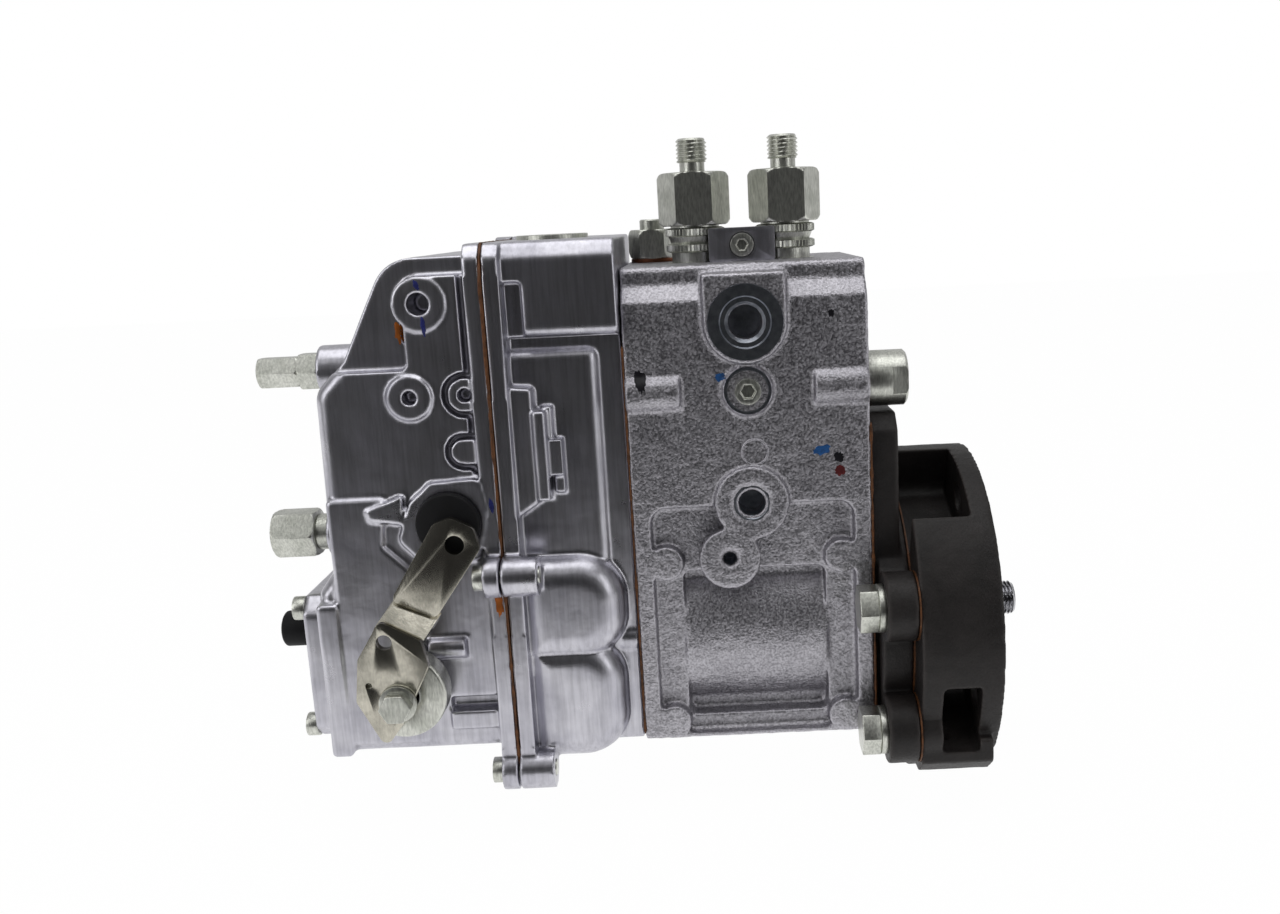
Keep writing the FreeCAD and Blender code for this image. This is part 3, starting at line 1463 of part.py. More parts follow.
def governor_mechanism():
    """Carrier and weights on the camshaft, sliding sleeve, tension lever and its springs."""
    pin_bores = [
        cylinder((WEIGHT_PIN, "40", f"{sign}weight_pin_height"), "y", "weight_pin_radius + seat_fit", "80")
        for sign in ("-", "")
    ]
    node("weight_carrier", cut(fused(
        turned((CARRIER_LEFT, 0, 0), "x", [
            ("bearing_bore_radius + seat_fit", 0),
            ("carrier_radius - 6", 0),
            ("carrier_radius - 6", "carrier_thick"),
            ("bearing_bore_radius + seat_fit", "carrier_thick"),
        ]),
        *[
            block(
                (f"{CARRIER_LEFT} - 5.5", f"{y}", f"{low}"),
                ("5.5 + carrier_thick", "3", "carrier_radius - 8"),
            )
            for y in ("weight_half_width + 0.4", "-weight_half_width - 3.4")
            for low in ("10", "-10 - (carrier_radius - 8)")
        ],
        *[
            block((CARRIER_LEFT, "-weight_half_width - 3.4", low),
                  ("carrier_thick", "2 * weight_half_width + 6.8", "5"))
            for low in ("10", "-15")
        ],
    ), *pin_bores))
    pins = []
    for name, sign in (("upper", 1), ("lower", -1)):
        height = f"({sign} * weight_pin_height)"
        pins.append(cylinder(
            (WEIGHT_PIN, "weight_half_width + 3.4", height), "y", "weight_pin_radius",
            "2 * weight_half_width + 6.8",
        ))
        flyweight(name, sign, height)
    node("weight_pins", group(*pins))
    sleeve_right = f"({WEIGHT_PIN} - 10)"
    node("governor_sleeve", turned((f"{sleeve_right} - slider_length", 0, 0), "x", [
        ("governor_shaft_radius + running_fit", 0),
        ("governor_shaft_radius + slider_wall", 0),
        ("governor_shaft_radius + slider_wall", "slider_length - 3"),
        ("slider_flange_radius", "slider_length - 3"),
        ("slider_flange_radius", "slider_length"),
        ("governor_shaft_radius + running_fit", "slider_length"),
    ]))
    tension_lever()


def flyweight(name, sign, height):
    """A bell-crank weight: the mass outside, the toe that pushes the sleeve inside."""
    side = "weight_half_width"
    low = "weight_pin_height - 3" if sign > 0 else "-weight_pin_height - weight_depth + 3"
    mass = block(
        (f"{WEIGHT_PIN} - weight_length", f"-{side}", low),
        ("weight_length + 3", f"2 * {side}", "weight_depth"),
    )
    toe_low = "8.5" if sign > 0 else "-weight_pin_height + 1"
    toe = block((f"{WEIGHT_PIN} - 9", "-4", toe_low), ("4", "8", "weight_pin_height - 9.5"))
    pin_bore = cylinder((WEIGHT_PIN, f"{side} + 5", height), "y", "weight_pin_radius + running_fit", "60")
    node(f"flyweight_{name}", cut(fused(mass, toe), pin_bore))


def tension_lever():
    """The lever between sleeve, rack link and governor spring, on its cross pin."""
    half = "tension_width / 2"
    blade = plate("y", f"-{TENSION_FRONT} + tension_thick", rectangle(
        f"{TENSION_X} - {half}", "-6", f"{TENSION_X} + {half}", "rack_height + 4"
    ), "tension_thick", corner="2")
    top_pin = cylinder((TENSION_X, f"-{TENSION_FRONT} + 1", "rack_height"), "y", "2", "12")
    foot_pin = cylinder(
        (TENSION_X, "-governor_shaft_radius - slider_wall - free_gap", "0"), "y", "2",
        f"{TENSION_FRONT} - governor_shaft_radius - slider_wall - 2",
    )
    hub = cylinder((TENSION_X, f"-{TENSION_FRONT} + tension_thick + 2", "tension_pivot_height"), "y", "7", "8")
    bore = cylinder((TENSION_X, "0", "tension_pivot_height"), "y", "4 + running_fit", "60")
    node("tension_lever", cut(fused(blade, top_pin, foot_pin, hub), bore))
    node("tension_lever_pin", cylinder(
        (TENSION_X, "cover_front - 12", "tension_pivot_height"), "y", "4", "2 * cover_front - 16"
    ))


def control_lever_parts():
    """Joggled lever, its shaft with the inner crank, bolt, washer and return spring."""
    at = (LEVER_X, "-lever_plate_front + lever_thick", "-lever_pivot_drop")
    lower = plate("y", at[1], [
        (f"{LEVER_X} - 15", "-4"),
        (f"{LEVER_X} - 6", "-22"),
        (f"{LEVER_X} + 1", "-13"),
        (f"{LEVER_X} + 12", "8"),
        (f"{LEVER_X} + 10", "18"),
        (f"{LEVER_X} - 4", "26"),
        (f"{LEVER_X} - 13", "12"),
    ], "lever_thick", corner="2.5")
    upper = plate("y", "-lever_plate_front + lever_thick + lever_joggle", [
        (f"{LEVER_X} - 2", "30"),
        (f"{LEVER_X} + 14", "23"),
        (f"{LEVER_X} + 32", "48"),
        (f"{LEVER_X} + 30", "56"),
        (f"{LEVER_X} + 22", "60"),
        (f"{LEVER_X} + 16", "58"),
    ], "lever_thick", corner="3")
    joggle = doc.addObject("Part::Loft", "Joggle")
    ends = []
    for depth, points in (
        ("-lever_plate_front + lever_thick", [("-8", "20"), ("8", "13"), ("9.5", "16"), ("-6.5", "23")]),
        (
            "-lever_plate_front + lever_thick + lever_joggle",
            [("-2", "28"), ("14", "21"), ("15.5", "24"), ("-0.5", "31")],
        ),
    ):
        ends.append(slice_wire(depth, points))
    joggle.Sections = ends
    joggle.Solid = True
    holes = [
        cylinder((LEVER_X, "-30", "-lever_pivot_drop"), "y", "lever_shaft_radius - 1 + seat_fit", "90"),
        cylinder((f"{LEVER_X} - 3", "-30", "18"), "y", "2.8", "90"),
        cylinder((f"{LEVER_X} - 10", "-30", "2"), "y", "1.2", "90"),
        cylinder((f"{LEVER_X} + 23", "-30", "50"), "y", "3.5", "90"),
    ]
    node("control_lever", cut(fused(lower, upper, joggle), *holes))
    node("lever_shaft", fused(
        cylinder((LEVER_X, "-crank_front", at[2]), "y", "lever_shaft_radius",
                 "lever_plate_front - crank_front - lever_thick"),
        cylinder((LEVER_X, "-crank_front", at[2]), "y", "lever_shaft_radius - 1",
                 "lever_plate_front - crank_front"),
        block((f"{LEVER_X} - 4", "-crank_front - 4", "-lever_pivot_drop - 4"),
              ("8", "4", "crank_height + lever_pivot_drop + 7")),
        cylinder((LEVER_X, f"-{TENSION_FRONT} + tension_thick + 1", "crank_height"), "y", "2",
                 f"crank_front - {TENSION_FRONT} + tension_thick + 2"),
    ))
    front = "(-lever_plate_front)"
    washer = cylinder((LEVER_X, front, at[2]), "y", "6.8", "1.6")
    bolt = hexagon((LEVER_X, f"{front} - 1.6", at[2]), "y", "10", "5")
    node("lever_bolt_and_washer", group(washer, bolt))
    node("lever_spring_cup", turned((LEVER_X, "-cover_front - 4.3", at[2]), "y", [
        ("lever_shaft_radius + 1", 0),
        ("lever_shaft_radius + 10", 0),
        ("lever_shaft_radius + 11", 1),
        ("lever_shaft_radius + 11", 9),
        ("lever_shaft_radius + 10", 10),
        ("lever_shaft_radius + 1", 10),
    ]))


def slice_wire(depth, points):
    """A four-cornered section of the joggle, square to Y."""
    sketch = doc.addObject("Sketcher::SketchObject", "Section")
    sketch.Placement = Placement(Vector(), FRAMES["y"])
    bind(sketch, "Placement.Base.y", depth)
    corners = [Vector(number(f"{LEVER_X} + ({u})"), number(v), 0) for u, v in points]
    for i in range(4):
        sketch.addGeometry(Part.LineSegment(corners[i], corners[(i + 1) % 4]))
    for i in range(4):
        sketch.addConstraint(Sketcher.Constraint("Coincident", i, 2, (i + 1) % 4, 1))
    for i, (u, v) in enumerate(points):
        for kind, formula, value in (
            ("DistanceX", f"{LEVER_X} + ({u})", corners[i].x), ("DistanceY", v, corners[i].y)
        ):
            index = sketch.addConstraint(Sketcher.Constraint(kind, i, 1, value))
            bind(sketch, f"Constraints[{index}]", formula)
    return sketch


def governor_fittings():
    """Full-load cap with its nut, idle cap, round plug and the screws on the governor cover."""
    start = f"({COVER_LEFT} + 2)"
    at = (f"{start} - 8", "-fitting_inset", "full_load_height")
    node("full_load_nut", cut(
        hexagon(at, "x", "13", "8"),
        cylinder((f"{at[0]} - 1", at[1], at[2]), "x", "4 + seat_fit", "20"),
    ))
    node("full_load_cap", fused(
        hexagon((f"{at[0]} - 15.5", at[1], at[2]), "x", "11", "15.5"),
        cylinder((f"{at[0]} - 1", at[1], at[2]), "x", "4", "22"),
    ))
    idle = (f"{COVER_LEFT} - 1", "-fitting_inset", "idle_height")
    node("idle_cap", fused(
        cylinder((f"{idle[0]} - 5", idle[1], idle[2]), "x", "7", "5"),
        cone((f"{idle[0]} - 22", idle[1], idle[2]), "x", "8", "8.5", "1"),
        hexagon((f"{idle[0]} - 21", idle[1], idle[2]), "x", "17", "16"),
        cylinder((f"{idle[0]} - 1", idle[1], idle[2]), "x", "5", "14"),
    ))
    node("round_plug", turned((f"{COVER_RIGHT} - 18", "-cover_front + 2", "56"), "y", [
        (0, 0),
        (10.9, 0),
        (10.9, 5.2),
        (12, 5.2),
        (11.4, 8),
        (0, 8.6),
    ]))
    node("governor_spring", helix(
        (f"{LEVER_X} + 2.3", f"-{TENSION_FRONT} + tension_thick / 2", "crank_height"), "x", "4", "0.9",
        f"({TENSION_X} - tension_width / 2 - 0.3 - {LEVER_X} - 2.3)", 4,
    ))


for make in (
    pump_housing, rack_cap, delivery_line, holder_clamp, bleed_screw, overflow_fitting, camshaft,
    bearings, pumping_elements, control_rack, bearing_plate, engine_adapter, adapter_bolts,
    governor_housing, governor_cover, end_cover, governor_gaskets, governor_bolts,
    governor_mechanism, control_lever_parts, governor_fittings,
):
    make()

node("joint_gaskets", group(*gaskets))
doc.recompute()
for thing in doc.Objects:
    if "Invalid" in thing.State or "Error" in thing.State:
        raise RuntimeError(f"{thing.Label} ({thing.TypeId}) did not build: {thing.State}")
os.makedirs("parts", exist_ok=True)
for name, thing in nodes.items():
    shape = thing.Shape
    if shape.isNull() or not shape.isValid() or not shape.Solids:
        raise RuntimeError(f"{name} is not a valid solid")
for name, thing in nodes.items():
    thing.Shape.exportStep(f"parts/{name}.step")
print(len(nodes), "nodes")
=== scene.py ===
import json
import math
import random

import bmesh
import bpy
from bpy.props import FloatProperty, FloatVectorProperty, PointerProperty, StringProperty
from mathutils import Matrix, Vector, noise


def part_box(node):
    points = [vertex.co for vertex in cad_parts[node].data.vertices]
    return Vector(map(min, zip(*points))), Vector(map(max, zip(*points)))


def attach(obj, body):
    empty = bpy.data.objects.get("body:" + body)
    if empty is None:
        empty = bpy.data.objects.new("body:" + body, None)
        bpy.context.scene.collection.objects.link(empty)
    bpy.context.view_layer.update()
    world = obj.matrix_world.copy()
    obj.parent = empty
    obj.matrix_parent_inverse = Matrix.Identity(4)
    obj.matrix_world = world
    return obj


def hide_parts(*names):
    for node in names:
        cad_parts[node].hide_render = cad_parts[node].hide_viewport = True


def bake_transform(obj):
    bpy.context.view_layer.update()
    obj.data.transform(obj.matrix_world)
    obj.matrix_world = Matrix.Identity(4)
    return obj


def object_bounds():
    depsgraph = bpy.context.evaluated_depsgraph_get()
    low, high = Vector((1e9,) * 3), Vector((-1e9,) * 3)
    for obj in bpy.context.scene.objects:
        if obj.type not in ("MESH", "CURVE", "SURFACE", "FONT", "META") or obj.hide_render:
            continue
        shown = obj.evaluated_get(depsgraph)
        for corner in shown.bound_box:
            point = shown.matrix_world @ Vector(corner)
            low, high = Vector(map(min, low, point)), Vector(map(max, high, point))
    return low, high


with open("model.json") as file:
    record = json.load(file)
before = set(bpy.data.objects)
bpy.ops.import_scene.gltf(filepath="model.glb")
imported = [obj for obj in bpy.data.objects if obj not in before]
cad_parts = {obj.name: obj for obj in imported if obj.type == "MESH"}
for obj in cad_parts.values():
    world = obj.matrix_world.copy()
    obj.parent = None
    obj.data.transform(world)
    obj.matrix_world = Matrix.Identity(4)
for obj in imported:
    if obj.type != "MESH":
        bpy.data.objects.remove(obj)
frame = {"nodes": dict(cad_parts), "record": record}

bl_info = {
    "name": "Diesel injection pump",
    "version": (1, 0, 0),
    "blender": (4, 5, 0),
    "location": "3D View > Sidebar > Pump",
    "description": "Dresses the packed injection pump with its castings, threads, sealant and finishes",
    "category": "Object",
}

MM = 0.001
PHOTO_WIDTH = 1280
PHOTO_HEIGHT = 914
SENSOR_WIDTH = 36.0
CAD_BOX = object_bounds()
# the room as metal sees it: a place from behind the lens (0) to behind the pump (1), and its brightness
ROOM_LEVELS = (
    (0.01, 0.02), (0.1, 0.03), (0.15, 0.4), (0.21, 0.42),
    (0.28, 0.12), (0.5, 0.2), (0.72, 0.42), (0.99, 0.45),
)
SOFT_BOX_STRENGTH = 1.3
# the finishes by slot or colour and the dressed pieces by node, filled while the scene is built
FINISHES = {}
SKINS = {}


class PumpCamera(bpy.types.PropertyGroup):
    """Where the photograph was taken from."""
    place: FloatVectorProperty(
        name="Place", description="Lens position in the pump's frame", size=3,
        default=(-0.1031, -0.4637, 0.1596), subtype="TRANSLATION", unit="LENGTH",
    )
    pitch: FloatProperty(
        name="Pitch", description="Downward tilt", default=math.radians(11.5),
        subtype="ANGLE", unit="ROTATION",
    )
    roll: FloatProperty(
        name="Roll", description="Turn about the line of sight", default=math.radians(2.69),
        subtype="ANGLE", unit="ROTATION",
    )
    focal_px: FloatProperty(
        name="Focal length", description="Focal length in photograph pixels", default=1170.0
    )
    centre_px: FloatProperty(
        name="Optical centre", description="Photograph column of the optical centre", default=711.0
    )


class PumpColours(bpy.types.PropertyGroup):
    """Finish colours as sRGB hex."""
    sand_cast: StringProperty(name="Sand cast", description="Pump housing", default="#bfbdc3")
    sand_cast_dark: StringProperty(name="Sand cast dark", description="Its hollows", default="#aeacb2")
    die_cast: StringProperty(name="Die cast", description="Governor castings", default="#c9c8cf")
    die_cast_dark: StringProperty(name="Die cast dark", description="Their hollows", default="#b3b2bb")
    machined: StringProperty(name="Machined", description="Turned port faces", default="#a9adb5")
    cast_iron: StringProperty(name="Cast iron", description="Adapter and bearing plate", default="#211d1c")
    zinc: StringProperty(name="Zinc", description="Plated fittings and bolts", default="#dcddd5")
    olive: StringProperty(name="Olive zinc", description="Control lever", default="#c6c2b5")
    rubber: StringProperty(name="Rubber", description="Plugs and caps", default="#0d0d10")
    sealant: StringProperty(name="Sealant", description="Joint sealant", default="#6a4326")
    smear: StringProperty(name="Smear", description="Fresh sealant runs", default="#a85a12")
    copper: StringProperty(name="Copper", description="Sealing washer", default="#8a5a45")


class PumpDetails(bpy.types.PropertyGroup):
    """Sizes of the detail that the dressing adds."""
    thread_pitch: FloatProperty(
        name="Thread pitch", description="Pitch of the outlet and shaft threads",
        default=1.5 * MM, unit="LENGTH",
    )
    thread_depth: FloatProperty(
        name="Thread depth", description="Crest to root", default=0.85 * MM, unit="LENGTH"
    )
    bead: FloatProperty(
        name="Sealant bead", description="Half width of the squeezed-out sealant",
        default=0.45 * MM, unit="LENGTH",
    )
    sand_voxel: FloatProperty(
        name="Sand-cast step", description="Remeshing step of the sand castings and the iron",
        default=0.8 * MM, unit="LENGTH",
    )
    die_voxel: FloatProperty(
        name="Die-cast step", description="Remeshing step of the governor castings",
        default=0.7 * MM, unit="LENGTH",
    )


def colours():
    """The scene's finish colours."""
    return bpy.context.scene.pump_colours


def details():
    """The scene's detail sizes."""
    return bpy.context.scene.pump_details


# Materials


def linear(text):
    """An sRGB hex colour as linear RGBA."""
    channels = [int(text[i:i + 2], 16) / 255 for i in (1, 3, 5)]
    return [c / 12.92 if c <= 0.04045 else ((c + 0.055) / 1.055) ** 2.4 for c in channels] + [1.0]


def add(tree, kind, settings=None, links=None):
    """Adds a node, sets its properties or sockets and joins its inputs."""
    made = tree.nodes.new(kind)
    for key, value in (settings or {}).items():
        if isinstance(key, str) and hasattr(made, key):
            setattr(made, key, value)
        else:
            made.inputs[key].default_value = value
    for key, source in (links or {}).items():
        tree.links.new(source, made.inputs[key])
    return made


def blank_material(name):
    """A new material with its shader, and object coordinates in metres."""
    material = bpy.data.materials.new(name)
    material.use_nodes = True
    tree = material.node_tree
    tree.nodes.clear()
    shader = add(tree, "ShaderNodeBsdfPrincipled")
    add(tree, "ShaderNodeOutputMaterial", links={"Surface": shader.outputs["BSDF"]})
    place = add(tree, "ShaderNodeTexCoord").outputs["Object"]
    return material, tree, shader, place


def grains(tree, place, size_mm, detail=3.0, roughness=0.6):
    """A cloudy pattern whose largest grains have the given size."""
    return add(tree, "ShaderNodeTexNoise", {
        "Scale": 1000.0 / size_mm, "Detail": detail, "Roughness": roughness,
    }, {"Vector": place}).outputs["Fac"]


def ramp(tree, source, low, high, dark, light):
    """Two colours, or two values given as greys, between two levels of a pattern."""
    made = add(tree, "ShaderNodeValToRGB", links={"Fac": source})
    stops = made.color_ramp.elements
    stops[0].position, stops[1].position = low, high
    stops[0].color = dark
    stops[1].color = light
    return made.outputs["Color"]


def grey(value):
    """A grey, or a plain value where a ramp or socket wants a colour."""
    return (value, value, value, 1.0)


def mixed(tree, factor, first, second, mode="MIX"):
    """Mixes two colours, each given as a value or as another node's output."""
    made = add(tree, "ShaderNodeMix", {"data_type": "RGBA", "blend_type": mode})
    for index, source in ((0, factor), (6, first), (7, second)):
        if isinstance(source, (float, int, list, tuple)):
            made.inputs[index].default_value = source
        else:
            tree.links.new(source, made.inputs[index])
    return made.outputs[2]


def edge_wear_sheen_and_hollow_shade(tree, colour, light, strength, hollow_shade=0.55):
    """Lightens the crests of a casting with a painted highlight, partly also where handling has rubbed it
    bright, and darkens its hollows with painted shade.
    """
    shape = add(tree, "ShaderNodeNewGeometry").outputs["Pointiness"]
    # crests: painted highlight in the given light colour, partly rubbed wear
    crest = ramp(tree, shape, 0.51, 0.6, grey(0), grey(strength))
    # hollows: painted shade, darkening where shade falls
    hollow = ramp(tree, shape, 0.41, 0.49, grey(hollow_shade), grey(1))
    return mixed(tree, crest, mixed(tree, 1.0, colour, hollow, "MULTIPLY"), light)


def bumps(tree, layers):
    """A chain of bumps from (height, depth in mm)."""
    normal = None
    for height, depth_mm in layers:
        made = add(tree, "ShaderNodeBump", {"Distance": depth_mm * MM, "Strength": 1.0}, {"Height": height})
        if normal is not None:
            tree.links.new(normal, made.inputs["Normal"])
        normal = made.outputs["Normal"]
    return normal


def sand_cast_aluminium():
    """Aluminium poured in green sand: a matt grey skin, pitted at the size of the sand grains."""
    material, tree, shader, place = blank_material("sand_cast_aluminium")
    mottle = grains(tree, place, 16, 4)
    colour = ramp(tree, mottle, 0.3, 0.7, linear(colours().sand_cast_dark), linear(colours().sand_cast))
    grain = grains(tree, place, 0.85, 2, 0.5)
    colour = mixed(tree, 1.0, colour, ramp(tree, grain, 0.36, 0.64, grey(0.6), grey(1.12)), "MULTIPLY")
    # painted highlight on the crests, partly rubbed wear, and painted shade in the hollows
    colour = edge_wear_sheen_and_hollow_shade(tree, colour, linear("#cbc9d0"), 0.5)
    tree.links.new(colour, shader.inputs["Base Color"])
    shader.inputs["Metallic"].default_value = 1.0
    tree.links.new(ramp(tree, grain, 0.3, 0.7, grey(0.36), grey(0.5)), shader.inputs["Roughness"])
    tree.links.new(bumps(tree, [(grain, 0.26), (grains(tree, place, 5.0, 2), 0.2)]), shader.inputs["Normal"])
    return material


def die_cast_aluminium():
    """Pressure die-cast aluminium: smooth and bluish, with faint flow stains and upright draw marks."""
    material, tree, shader, place = blank_material("die_cast_aluminium")
    stain = grains(tree, place, 22, 5)
    drawn = add(tree, "ShaderNodeMapping", {"Scale": (1.0, 1.0, 0.06)}, {"Vector": place}).outputs["Vector"]
    streak = grains(tree, drawn, 1.4, 3)
    colour = ramp(tree, stain, 0.35, 0.62, linear(colours().die_cast_dark), linear(colours().die_cast))
    colour = mixed(tree, 1.0, colour, ramp(tree, streak, 0.35, 0.6, grey(0.86), grey(1.06)), "MULTIPLY")
    # painted highlight on the crests, partly rubbed wear, and painted shade in the hollows
    colour = edge_wear_sheen_and_hollow_shade(tree, colour, linear("#d4d4dc"), 0.55, 0.4)
    tree.links.new(colour, shader.inputs["Base Color"])
    shader.inputs["Metallic"].default_value = 1.0
    tree.links.new(ramp(tree, stain, 0.3, 0.7, grey(0.36), grey(0.26)), shader.inputs["Roughness"])
    fine = grains(tree, place, 0.5, 2)
    layers = [(fine, 0.012), (streak, 0.01), (grains(tree, place, 7.0, 2), 0.1)]
    tree.links.new(bumps(tree, layers), shader.inputs["Normal"])
    return material


def machined_aluminium():
    """A port face turned flat: brighter than the casting round it, lightly clouded and faintly blue."""
    material, tree, shader, place = blank_material("turned_aluminium")
    cloud = grains(tree, place, 3, 3)
    colour = ramp(tree, cloud, 0.3, 0.7, linear("#858a93"), linear(colours().machined))
    tree.links.new(colour, shader.inputs["Base Color"])
    shader.inputs["Metallic"].default_value = 1.0
    shader.inputs["Roughness"].default_value = 0.3
    tree.links.new(bumps(tree, [(grains(tree, place, 0.4, 2), 0.015)]), shader.inputs["Normal"])
    return material


def phosphated_cast_iron():
    """Cast iron under a dark phosphate coat: nearly black, faintly brown, fine sand skin."""
    material, tree, shader, place = blank_material("phosphated_cast_iron")
    mottle = grains(tree, place, 12, 4)
    colour = ramp(tree, mottle, 0.3, 0.7, linear("#151211"), linear(colours().cast_iron))
    # painted brownish highlight on the crests, partly rubbed wear, and painted shade in the hollows
    colour = edge_wear_sheen_and_hollow_shade(tree, colour, linear("#4a4340"), 0.5)
    tree.links.new(colour, shader.inputs["Base Color"])
    shader.inputs["Specular IOR Level"].default_value = 0.35
    grain = grains(tree, place, 0.8, 2)
    tree.links.new(ramp(tree, grain, 0.3, 0.7, grey(0.44), grey(0.6)), shader.inputs["Roughness"])
    tree.links.new(bumps(tree, [(grain, 0.1), (grains(tree, place, 4.0, 2), 0.12)]), shader.inputs["Normal"])
    return material


def plated_steel(name, light, dark, roughness, stroke=0.0):
    """Turned or pressed metal, bare or plated: soft handling marks, and slanting strokes of the grinding."""
    material, tree, shader, place = blank_material(name)
    cloud = grains(tree, place, 9, 3)
    leant = add(tree, "ShaderNodeMapping", {"Rotation": (0.0, 0.35, 0.0), "Scale": (1.0, 1.0, 0.22)}, {
        "Vector": place,
    }).outputs["Vector"]
    strokes = grains(tree, leant, 0.7, 2)
    colour = ramp(tree, cloud, 0.34, 0.6, linear(dark), linear(light))
    if stroke:
        darker = ramp(tree, strokes, 0.35, 0.65, grey(1 - stroke), grey(1))
        colour = mixed(tree, 1.0, colour, darker, "MULTIPLY")
    tree.links.new(colour, shader.inputs["Base Color"])
    shader.inputs["Metallic"].default_value = 1.0
    worn = ramp(tree, cloud, 0.3, 0.7, grey(roughness + 0.05), grey(roughness - 0.03))
    tree.links.new(worn, shader.inputs["Roughness"])
    tree.links.new(bumps(tree, [(strokes, 0.01 + 0.2 * stroke)]), shader.inputs["Normal"])
    return material


def dull_coat(name, light, dark, roughness, size_mm, depth_mm):
    """A coat that isn't metal, such as moulded rubber, cured sealant or a dab of inspection paint."""
    material, tree, shader, place = blank_material(name)
    cloud = grains(tree, place, size_mm, 3)
    tree.links.new(ramp(tree, cloud, 0.3, 0.7, linear(dark), linear(light)), shader.inputs["Base Color"])
    shader.inputs["Roughness"].default_value = roughness
    shader.inputs["Specular IOR Level"].default_value = 0.25
    tree.links.new(bumps(tree, [(cloud, depth_mm)]), shader.inputs["Normal"])
    return material


def finishes():
    """Every finish by the record's slot name, and the dabs and smears by their colour."""
    kit = colours()
    return {
        "sand_cast_aluminium": sand_cast_aluminium(),
        "die_cast_aluminium": die_cast_aluminium(),
        "machined": machined_aluminium(),
        "cast_iron": phosphated_cast_iron(),
        "zinc_steel": plated_steel("zinc_plated_steel", kit.zinc, "#c6c8bf", 0.34, 0.3),
        "lever_steel": plated_steel("olive_chromated_steel", kit.olive, "#a3a095", 0.21, 0.12),
        "copper": plated_steel("soft_copper", kit.copper, "#6b4634", 0.38),
        "spring_steel": plated_steel("oiled_spring_steel", "#9c9c9e", "#6c6c6e", 0.33),
        "hardened_steel": plated_steel("ground_hardened_steel", "#c0c0c4", "#a0a0a4", 0.2),
        "rubber": dull_coat("moulded_nitrile_rubber", kit.rubber, "#070709", 0.6, 5, 0.02),
        "gasket": dull_coat("cured_joint_sealant", kit.sealant, "#3a2414", 0.5, 2.5, 0.12),
        "smear": dull_coat("fresh_sealant_run", kit.smear, "#6e3a0c", 0.35, 2.5, 0.1),
        "black paint": dull_coat("black_inspection_paint", "#15141a", "#0b0a0e", 0.4, 2, 0.05),
        "blue paint": dull_coat("blue_inspection_paint", "#1c4f86", "#16355c", 0.4, 2, 0.05),
        "violet paint": dull_coat("violet_inspection_paint", "#232a6b", "#171a45", 0.4, 2, 0.05),
        "red paint": dull_coat("red_inspection_paint", "#5a1a1c", "#3a1214", 0.4, 2, 0.05),
    }


# Meshes


def copied(node, name):
    """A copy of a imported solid, to be worked on under its own name."""
    piece = bpy.data.objects.new(name, frame["nodes"][node].data.copy())
    bpy.context.scene.collection.objects.link(piece)
    return piece


def mesh_piece(name, verts, faces):
    """A new smooth-shaded piece with its double points merged."""
    mesh = bpy.data.meshes.new(name)
    mesh.from_pydata([tuple(v) for v in verts], [], faces)
    bm = bmesh.new()
    bm.from_mesh(mesh)
    bmesh.ops.remove_doubles(bm, verts=bm.verts, dist=1e-6)
    bmesh.ops.recalc_face_normals(bm, faces=bm.faces)
    bm.to_mesh(mesh)
    bm.free()
    piece = bpy.data.objects.new(name, mesh)
    bpy.context.scene.collection.objects.link(piece)
    mesh.shade_smooth()
    return piece


def dressed(piece, body, slot, material=None):
    """Gives a piece its body, and the finish of its slot unless another is given."""
    piece.data.materials.clear()
    piece.data.materials.append(material or FINISHES[slot])
    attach(piece, body)
    return piece


def sharpened(piece, degrees):
    """Shades a piece smooth apart from the edges that turn by more than the angle."""
    piece.data.shade_smooth()
    piece.data.set_sharp_from_angle(angle=math.radians(degrees))
    return piece


def applied(piece):
    """Bakes a piece's modifiers into its mesh."""
    graph = bpy.context.evaluated_depsgraph_get()
    graph.update()
    mesh = bpy.data.meshes.new_from_object(piece.evaluated_get(graph))
    piece.modifiers.clear()
    old = piece.data
    piece.data = mesh
    bpy.data.meshes.remove(old)
    return piece


def cast_skin(node, voxel, rounds, lumps_mm, lump_size_mm):
    """The casting's own solid with rounded edges and an uneven as-cast surface."""
    piece = copied(node, f"{node}_skin")
    remesh = piece.modifiers.new("Even", "REMESH")
    remesh.mode = "VOXEL"
    remesh.voxel_size = voxel
    smooth = piece.modifiers.new("Soften", "SMOOTH")
    smooth.factor = 0.5
    smooth.iterations = rounds
    applied(piece)
    mesh = piece.data
    outward = [vertex.normal.copy() for vertex in mesh.vertices]
    places = [vertex.co.copy() for vertex in mesh.vertices]
    moved = []
    for place, normal in zip(places, outward):
        moved.extend(place + normal * noise.noise(place / (lump_size_mm * MM)) * lumps_mm * MM)
    mesh.vertices.foreach_set("co", moved)
    mesh.update()
    mesh.shade_smooth()
    return piece


def broken_edges(node, width_mm):
    """The node's own solid with its sharp edges broken, as machining, pressing or plating leaves them."""
    piece = copied(node, f"{node}_detailed")
    bm = bmesh.new()
    bm.from_mesh(piece.data)
    bmesh.ops.remove_doubles(bm, verts=bm.verts, dist=1e-6)
    bmesh.ops.dissolve_limit(bm, angle_limit=math.radians(1), verts=bm.verts, edges=bm.edges)
    bm.to_mesh(piece.data)
    bm.free()
    bevel = piece.modifiers.new("Break", "BEVEL")
    bevel.width = width_mm * MM
    bevel.segments = 2
    bevel.limit_method = "ANGLE"
    bevel.angle_limit = math.radians(32)
    return sharpened(applied(piece), 30)


def along_axis(axis, x, y, height):
    """A point given across and along a piece's own axis."""
    return Vector({"z": (x, y, height), "x": (height, x, y), "y": (x, -height, y)}[axis])


def ring_faces(rings, sides):
    """The quads between neighbouring rings of points."""
    faces = []
    for ring in range(rings - 1):
        for side in range(sides):
            after = (side + 1) % sides
            faces.append((
                ring * sides + side, ring * sides + after,
                (ring + 1) * sides + after, (ring + 1) * sides + side,
            ))
    return faces


